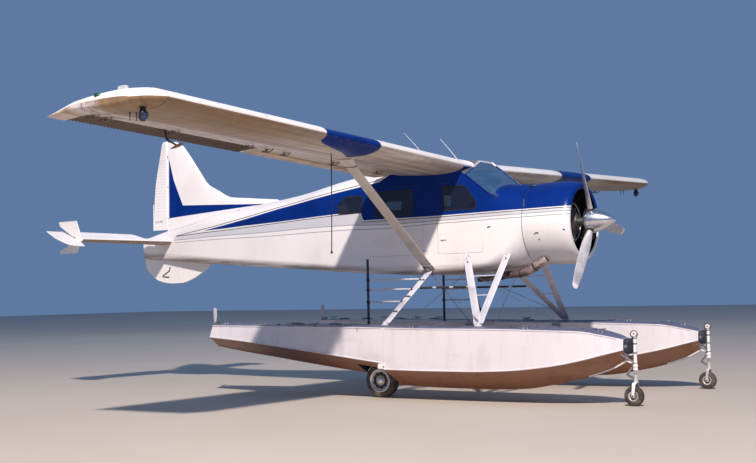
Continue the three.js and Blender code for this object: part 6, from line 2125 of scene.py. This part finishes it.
def add_panel():
    form = Form()
    face = rounded([(aft(1.560), 2.560), (aft(1.545), 2.890), (aft(1.640), 2.900),
                    (aft(1.650), 2.885), (aft(1.600), 2.560)], 0.004, 3)
    form.skin([[(x, y, z) for x, z in face] for y in (-0.5, 0.5)], 0)
    # The face that the pilots see, with two rows of dials, a radio stack and switches
    top, bottom = Vector((aft(1.650), 0, 2.885)), Vector((aft(1.600), 0, 2.560))
    down = (bottom - top).normalized()
    facing = down.cross(PORT).normalized()
    facing = facing if facing.x < 0 else -facing

    def spot(y, share):
        return top.lerp(bottom, share) + PORT * y

    radius = 0.039
    for row in (0.24, 0.58):
        for y in (-0.42, -0.33, -0.24, 0.14, 0.23, 0.32, 0.41):
            centre = spot(y, row)
            form.turned([(radius, -0.003), (radius, 0.004), (radius * 0.9, 0.006),
                         (radius * 0.82, 0.003)], centre, facing, 28, 1)
            form.disc(centre + facing * 0.001, facing, radius * 0.84, 0.002, 2, steps=28)
            for c, s in arc(12):
                mark = centre + facing * 0.0035 + (PORT * c + down * s) * radius * 0.7
                form.box_at(mark, (PORT * c + down * s, PORT * -s + down * c, facing),
                            (0.007, 0.0016, 0.0008), 0)
            form.box_at(centre + facing * 0.0042 + down * radius * 0.25, (down, PORT, facing),
                        (radius * 1.1, 0.002, 0.0012), 0)
    for k in range(4):
        centre = spot(-0.05, 0.2 + 0.17 * k)
        form.box_at(centre + facing * 0.004, (PORT, down, facing), (0.17, 0.047, 0.012), 3)
        form.box_at(centre + facing * 0.0105, (PORT, down, facing), (0.09, 0.022, 0.002), 4)
        for y in (-0.067, 0.067):
            form.disc(centre + PORT * y + facing * 0.01, facing, 0.010, 0.012, 1, steps=20)
    for k in range(14):
        centre = spot(-0.44 + 0.062 * k, 0.88)
        form.box_at(centre + facing * 0.003, (PORT, down, facing), (0.022, 0.03, 0.006), 3)
        form.tube([centre, centre + facing * 0.016 - down * 0.006], [0.0032, 0.0022], 8, 1)
    # Hood over the panel
    hood = [(aft(1.49), 2.892), (aft(1.52), 2.908), (aft(1.64), 2.912), (aft(1.70), 2.899),
            (aft(1.70), 2.894), (aft(1.64), 2.903), (aft(1.52), 2.898)]
    form.skin([[(x, y, z) for x, z in hood] for y in (-0.5, 0.5)], 5)
    # Pedestal with its levers
    block = rounded([(aft(1.640), CABIN_FLOOR_Z), (aft(1.640), 2.600), (aft(1.550), 2.600),
                     (aft(1.550), CABIN_FLOOR_Z)], 0.012)
    form.plate(block, -0.09, 0.09, 0)
    for y, finish in ((-0.05, 6), (0.0, 3), (0.05, 7)):
        base = Vector((aft(1.635), y, 2.52))
        knob = base + Vector((-0.055, 0, 0.055))
        form.rod(base, knob, 0.005, 10, 1)
        form.turned([(0, -0.014), (0.012, -0.01), (0.015, 0), (0.012, 0.01), (0, 0.014)], knob,
                    PORT, 20, finish)
    # Control column, its yoke arm and the wheel
    form.tube(curve_through([(aft(1.62), 0, 2.30), (aft(1.74), 0, 2.385), (aft(1.86), 0, 2.48),
                             (aft(1.862), 0.13, 2.562), (aft(1.862), 0.245, 2.63)], 24),
              [0.022] * 12 + [0.0195] * 12, 18, 3)
    centre, axis = Vector((aft(1.868), 0.26, 2.68)), Vector((1, 0, 0.25)).normalized()
    across = PORT.cross(axis).normalized()
    rim = [centre + (PORT * c + across * s) * 0.13 for c, s in arc(48)]
    form.tube(rim, 0.0105, 12, 5, loop=True)
    form.turned([(0, -0.016), (0.03, -0.016), (0.034, 0), (0.03, 0.014), (0, 0.018)], centre, axis,
                28, 3)
    for c, s in ((1, 0.0), (-1, 0.0), (0.0, 1)):
        form.rod(centre, centre + (PORT * c + across * s) * 0.126, 0.008, 10, 1)
    form.rod(centre - UP * 0.05, centre, 0.012, 12, 3)
    form.make("instrument_board", "airframe", "panel_black", PANEL, STEEL, DIAL, JOINT_AND_HOLLOW_SHADE, LAMP_GLASS,
              LEATHER, BLADE, RED_GLASS, replaced=["instrument_panel"], sharp=40)


PAD_VOXEL, PAD_PRESSURE, PAD_FRAMES = 0.006, 4, 20
PAD_INSET, PAD_CAP = 0.014, 0.026  # how far a pad starts inside its size, and may move
CHANNEL_DEPTH, CHANNEL_WIDTH = 0.011, 0.012


def puff(piece):
    """Blows a closed pad up as cloth, with its movement capped and its foot kept flat."""
    mesh = piece.data
    remesh = piece.modifiers.new("remesh", "REMESH")
    remesh.mode, remesh.voxel_size = "VOXEL", PAD_VOXEL
    graph = bpy.context.evaluated_depsgraph_get()
    piece.data = bpy.data.meshes.new_from_object(piece.evaluated_get(graph))
    piece.modifiers.clear()
    bpy.data.meshes.remove(mesh)
    before = [v.co.copy() for v in piece.data.vertices]
    foot = min(p.z for p in before)
    cloth = piece.modifiers.new("cloth", "CLOTH")
    cloth.settings.quality = 5
    cloth.settings.mass = 0.3
    cloth.settings.use_pressure = True
    cloth.settings.uniform_pressure_force = PAD_PRESSURE
    cloth.settings.effector_weights.gravity = 0
    cloth.collision_settings.use_collision = False
    for number in range(1, PAD_FRAMES + 1):
        scene.frame_set(number)
    graph = bpy.context.evaluated_depsgraph_get()
    blown = bpy.data.meshes.new_from_object(piece.evaluated_get(graph))
    piece.modifiers.clear()
    scene.frame_set(1)
    for vertex, old in zip(blown.vertices, before):
        step = vertex.co - old
        if step.length > PAD_CAP:
            vertex.co = old + step.normalized() * PAD_CAP
        vertex.co.z = max(vertex.co.z, foot)
    piece.data = blown
    return piece


def sew(piece, lines):
    """Presses sewn channels into the upper side, along lines across or along the pad."""
    for vertex in piece.data.vertices:
        if vertex.normal.z < 0.25:
            continue
        groove = 0.0
        for axis, place in lines:
            groove = max(groove, math.exp(-((vertex.co[axis] - place) / CHANNEL_WIDTH) ** 2))
        vertex.co.z -= CHANNEL_DEPTH * groove


def cushion(name, size, place, lines):
    """A pad of a size along its own axes, at a place given by a matrix."""
    long, wide, tall = size
    inset = PAD_INSET
    a, b = long / 2 - inset, wide / 2 - inset
    outline = rounded([(-a, -b), (a, -b), (a, b), (-a, b)], 0.035, 6)
    rings = [[(x * k, y * k, z) for x, y in outline]
             for z, k in ((0, 0.985), (tall * 0.12, 1.0), (tall * 0.6, 1.0), (tall * 0.72, 0.985))]
    pad = Form().skin(rings).solid(name, LEATHER)
    puff(pad)
    sew(pad, lines)
    pad.data.transform(place)
    return pad


def piping(pad, place, size):
    """A cord sewn round the pad's upper edge, found on its own surface."""
    long, wide, tall = size
    skin = Skin(pad)
    turn = place.to_3x3()
    points = []
    for c, s in arc(72):
        k = 0.5 / max(abs(c) / long, abs(s) / wide) * 0.94
        start = place @ Vector((c * k * 1.5, s * k * 1.5, tall * 0.66))
        hit = skin.hit(start, turn @ Vector((-c, -s, 0)))
        if hit:
            points.append(hit[0])
    return Form().tube(points, 0.0042, 8, 0, loop=True)


def add_seats():
    lean = math.atan2(0.08, 0.49)
    for name, front, width, centres, node in (
            ("front_seat", 2.130, 0.42, {"right": -0.275, "left": 0.275}, "front_seat_"),
            ("rear_bench", 3.200, 0.96, {"": 0.0}, "rear_bench")):
        base_size, back_size = (0.415, width, 0.105), (0.47, width - 0.01, 0.095)
        channels = [(1, width * k / 4) for k in (-1, 0, 1)] if width < 0.6 else \
            [(1, width * k / 8) for k in (-3, -2, -1, 0, 1, 2, 3)]
        masters = {}
        for side, y in centres.items():
            tag = f"{name}_{side}" if side else name
            low_place = Matrix.Translation((aft(front + 0.2075), y, 2.345))
            high_place = (Matrix.Translation((aft(front + 0.475), y, 2.665))
                          @ Matrix.Rotation(math.pi / 2 - lean, 4, "Y"))
            for part, size, place in (("base", base_size, low_place),
                                      ("back", back_size, high_place)):
                if part in masters:
                    made, first = masters[part]
                    pad = bpy.data.objects.new(f"{tag}_{part}_pad", made.copy())
                    pad.data.transform(place @ first.inverted())
                    scene.collection.objects.link(pad)
                else:
                    pad = cushion(f"{tag}_{part}_pad", size, place, channels)
                    masters[part] = (pad.data.copy(), place)
                cord = piping(pad, place, size)
                keep(pad, "airframe", "seat_fabric", [node + side] if part == "base" else (), 60)
                cord.make(f"{tag}_{part}_piping", "airframe", "seat_fabric", JOINT_AND_HOLLOW_SHADE, sharp=60)
            frame_form = Form()
            shell = rounded([(aft(front), CABIN_FLOOR_Z), (aft(front - 0.008), 2.335),
                             (aft(front + 0.43), 2.335), (aft(front + 0.512), 2.895),
                             (aft(front + 0.556), 2.895), (aft(front + 0.496), 2.35),
                             (aft(front + 0.458), CABIN_FLOOR_Z)], 0.006, 3)
            frame_form.plate(shell, y - width / 2 + 0.01, y + width / 2 - 0.01, 0)
            for edge in (-1, 1):
                rail_y = y + edge * (width / 2 - 0.012)
                frame_form.tube([(aft(front - 0.002), rail_y, 2.33),
                                 (aft(front + 0.43), rail_y, 2.33),
                                 (aft(front + 0.508), rail_y, 2.87)], 0.009, 10, 1)
                for back in (front + 0.05, front + 0.39):
                    frame_form.box((aft(back + 0.025), rail_y - 0.006, CABIN_FLOOR_Z),
                                   (aft(back - 0.025), rail_y + 0.008, 2.10), 1)
            frame_form.make(f"{tag}_frame", "airframe", "seat_fabric", LINING, STEEL, sharp=40)


# Aerials, hull seams and the small marks on the skin

def add_aerials():
    skin = Skin(hull)
    form = Form()
    for base, tip, radius in (((1.5955, 3.599), (1.27, 3.953), 0.006),
                              ((1.12, 3.55), (0.60, 4.108), 0.0055)):
        foot = skin.down([(base[0], 0.0)])
        start = foot[0][0] if foot else Vector((base[0], 0, base[1]))
        end = Vector((tip[0], 0, tip[1]))
        path = [start.lerp(end, t) + UP * 0.012 * math.sin(math.pi * t) for t in spread(0, 1, 14)]
        form.tube(path, [radius * (1 - 0.55 * t) for t in spread(0, 1, 14)], 12, 0)
        form.turned([(0.028, -0.008), (0.026, 0.004), (0.014, 0.012), (0.011, 0.03), (0, 0.034)],
                    start, UP, 24, 1)
        form.studs([(start + Vector((0.019 * c, 0.019 * s, 0.007)), UP) for c, s in arc(4, 45)],
                   0.003, 0.002, 2)
    # Beacon on the roof
    roof = skin.down([(aft(3.35), 0.0)])
    if roof:
        spot = roof[0][0]
        form.turned([(0.045, -0.01), (0.045, 0.008), (0.036, 0.014), (0.034, 0.05), (0.022, 0.068),
                     (0, 0.072)], spot, UP, 32, 3)
        form.turned([(0.048, -0.01), (0.048, 0.01), (0.040, 0.012)], spot, UP, 32, 1)
    form.make("aerials", "airframe", "white_paint", DIAL, PLAIN_WHITE, STEEL, RED_GLASS, sharp=45)


def add_hull_marks():
    skin = Skin(hull)
    form = Form()

    def round_line(back):
        """Surface points round a section, seen from outside toward the hull's middle."""
        row = smooth(CABIN + TAIL, back)
        middle = float(row[1] + row[2]) / 2
        found = [skin.hit((aft(back), 3 * c, middle + 3 * s), (0, -c, -s)) for c, s in arc(60)]
        return [hit for hit in found if hit]

    # Frames of the rear fuselage: a row of fasteners each
    for back in (4.42, 5.05, 5.68, 6.30, 6.92, 7.52, 8.10):
        hits = round_line(back)
        if len(hits) > 40:
            form.studs(hits, 0.0042, 0.0014, 1)
    # Lengthwise lap joints
    for share in (0.30, 0.66):
        for sign in (-1, 1):
            spots = []
            for back in spread(4.2, 8.3, 90):
                row = smooth(CABIN + TAIL, back)
                z = float(row[1] + (row[2] - row[1]) * share)
                spots.append((aft(back), z))
            hits = skin.side(spots, sign)
            form.ribbon(hits, 0.004, 0.0008, 1)
            form.studs(hits, 0.0042, 0.0014, 1)
    # Small fittings on the side, seen as dark marks
    for x, z, radius in ((2.429, 2.482, 0.012), (2.451, 2.486, 0.008), (1.300, 2.168, 0.012),
                         (1.283, 2.160, 0.010), (2.004, 2.112, 0.010), (2.071, 2.063, 0.010),
                         (2.104, 2.034, 0.008), (2.046, 1.935, 0.011), (2.075, 1.925, 0.009),
                         (2.702, 2.060, 0.012), (1.345, 2.165, 0.010),
                         (-2.70, 3.020, 0.012)):
        for sign in (-1, 1):
            form.studs(skin.side([(x, z)], sign), radius, radius * 0.5, 2, 14)
    for sign in (-1, 1):
        handle = skin.side([(2.445, 2.489), (2.40, 2.476)], sign)
        form.ribbon(handle, 0.014, 0.007, 2)
        line = skin.side([(-4.438 + 0.0737 * k, 2.742 + 0.0108 * k) for k in range(11)], sign)
        if len(line) > 3:
            form.ribbon(line, 0.005, 0.001, 2)
        # Round covers low on the side
        for back, z in ((2.05, 2.04), (3.9, 2.0)):
            spot = skin.side([(aft(back), z)], sign)
            if spot:
                point, normal = spot[0]
                form.disc(point - normal * 0.003, normal, 0.035, 0.006, 1, steps=28)
    # Belly: round inspection plates with their fasteners
    for back, across in ((2.1, 0.18), (2.1, -0.18), (2.9, 0.0), (3.7, 0.22), (3.7, -0.22),
                         (4.6, 0.0)):
        spot = skin.up([(aft(back), across)])
        if spot:
            point, normal = spot[0]
            form.disc(point - normal * 0.003, normal, 0.055, 0.006, 1, steps=28)
            form.bolts(point + normal * 0.003, normal, 0.045, 0, 8, 0.004, 0.002, 2)
    form.make("hull_details", "airframe", "white_paint", JOINT_AND_HOLLOW_SHADE, HULL, SEAL, sharp=45)


add_panel()
add_seats()
add_aerials()
add_hull_marks()


# Stage: a pale floor, and soft light like a low sun ahead of the starboard side

FLOOR_HALF = 90
SKY_COLOUR, SKY_STRENGTH = (0.32, 0.54, 1.0, 1), 0.36


def add_stage():
    floor = Form().box((-FLOOR_HALF, -FLOOR_HALF, -0.05), (FLOOR_HALF, FLOOR_HALF, 0)).solid(
        "floor", floor_finish())
    world = bpy.data.worlds.new("studio")
    world.use_nodes = True
    background = world.node_tree.nodes["Background"]
    background.inputs["Color"].default_value = SKY_COLOUR
    background.inputs["Strength"].default_value = SKY_STRENGTH
    scene.world = world


def add_lamp(name, place, target, size, power, colour):
    data = bpy.data.lights.new(name, "AREA")
    data.size, data.energy, data.color = size, power, colour
    lamp = bpy.data.objects.new(name, data)
    scene.collection.objects.link(lamp)
    lamp.location = place
    lamp.rotation_mode = "QUATERNION"
    lamp.rotation_quaternion = (Vector(target) - Vector(place)).to_track_quat("-Z", "Y")


add_stage()
add_lamp("key", (16.2, -27.5, 30.3), (0, -1, 2), size=1.6, power=23500, colour=(1, 0.89, 0.81))
add_lamp("back", (-20, 25, 16), (0, 0, 2), size=14, power=400, colour=(0.8, 0.9, 1))
scene.view_settings.view_transform = "Standard"
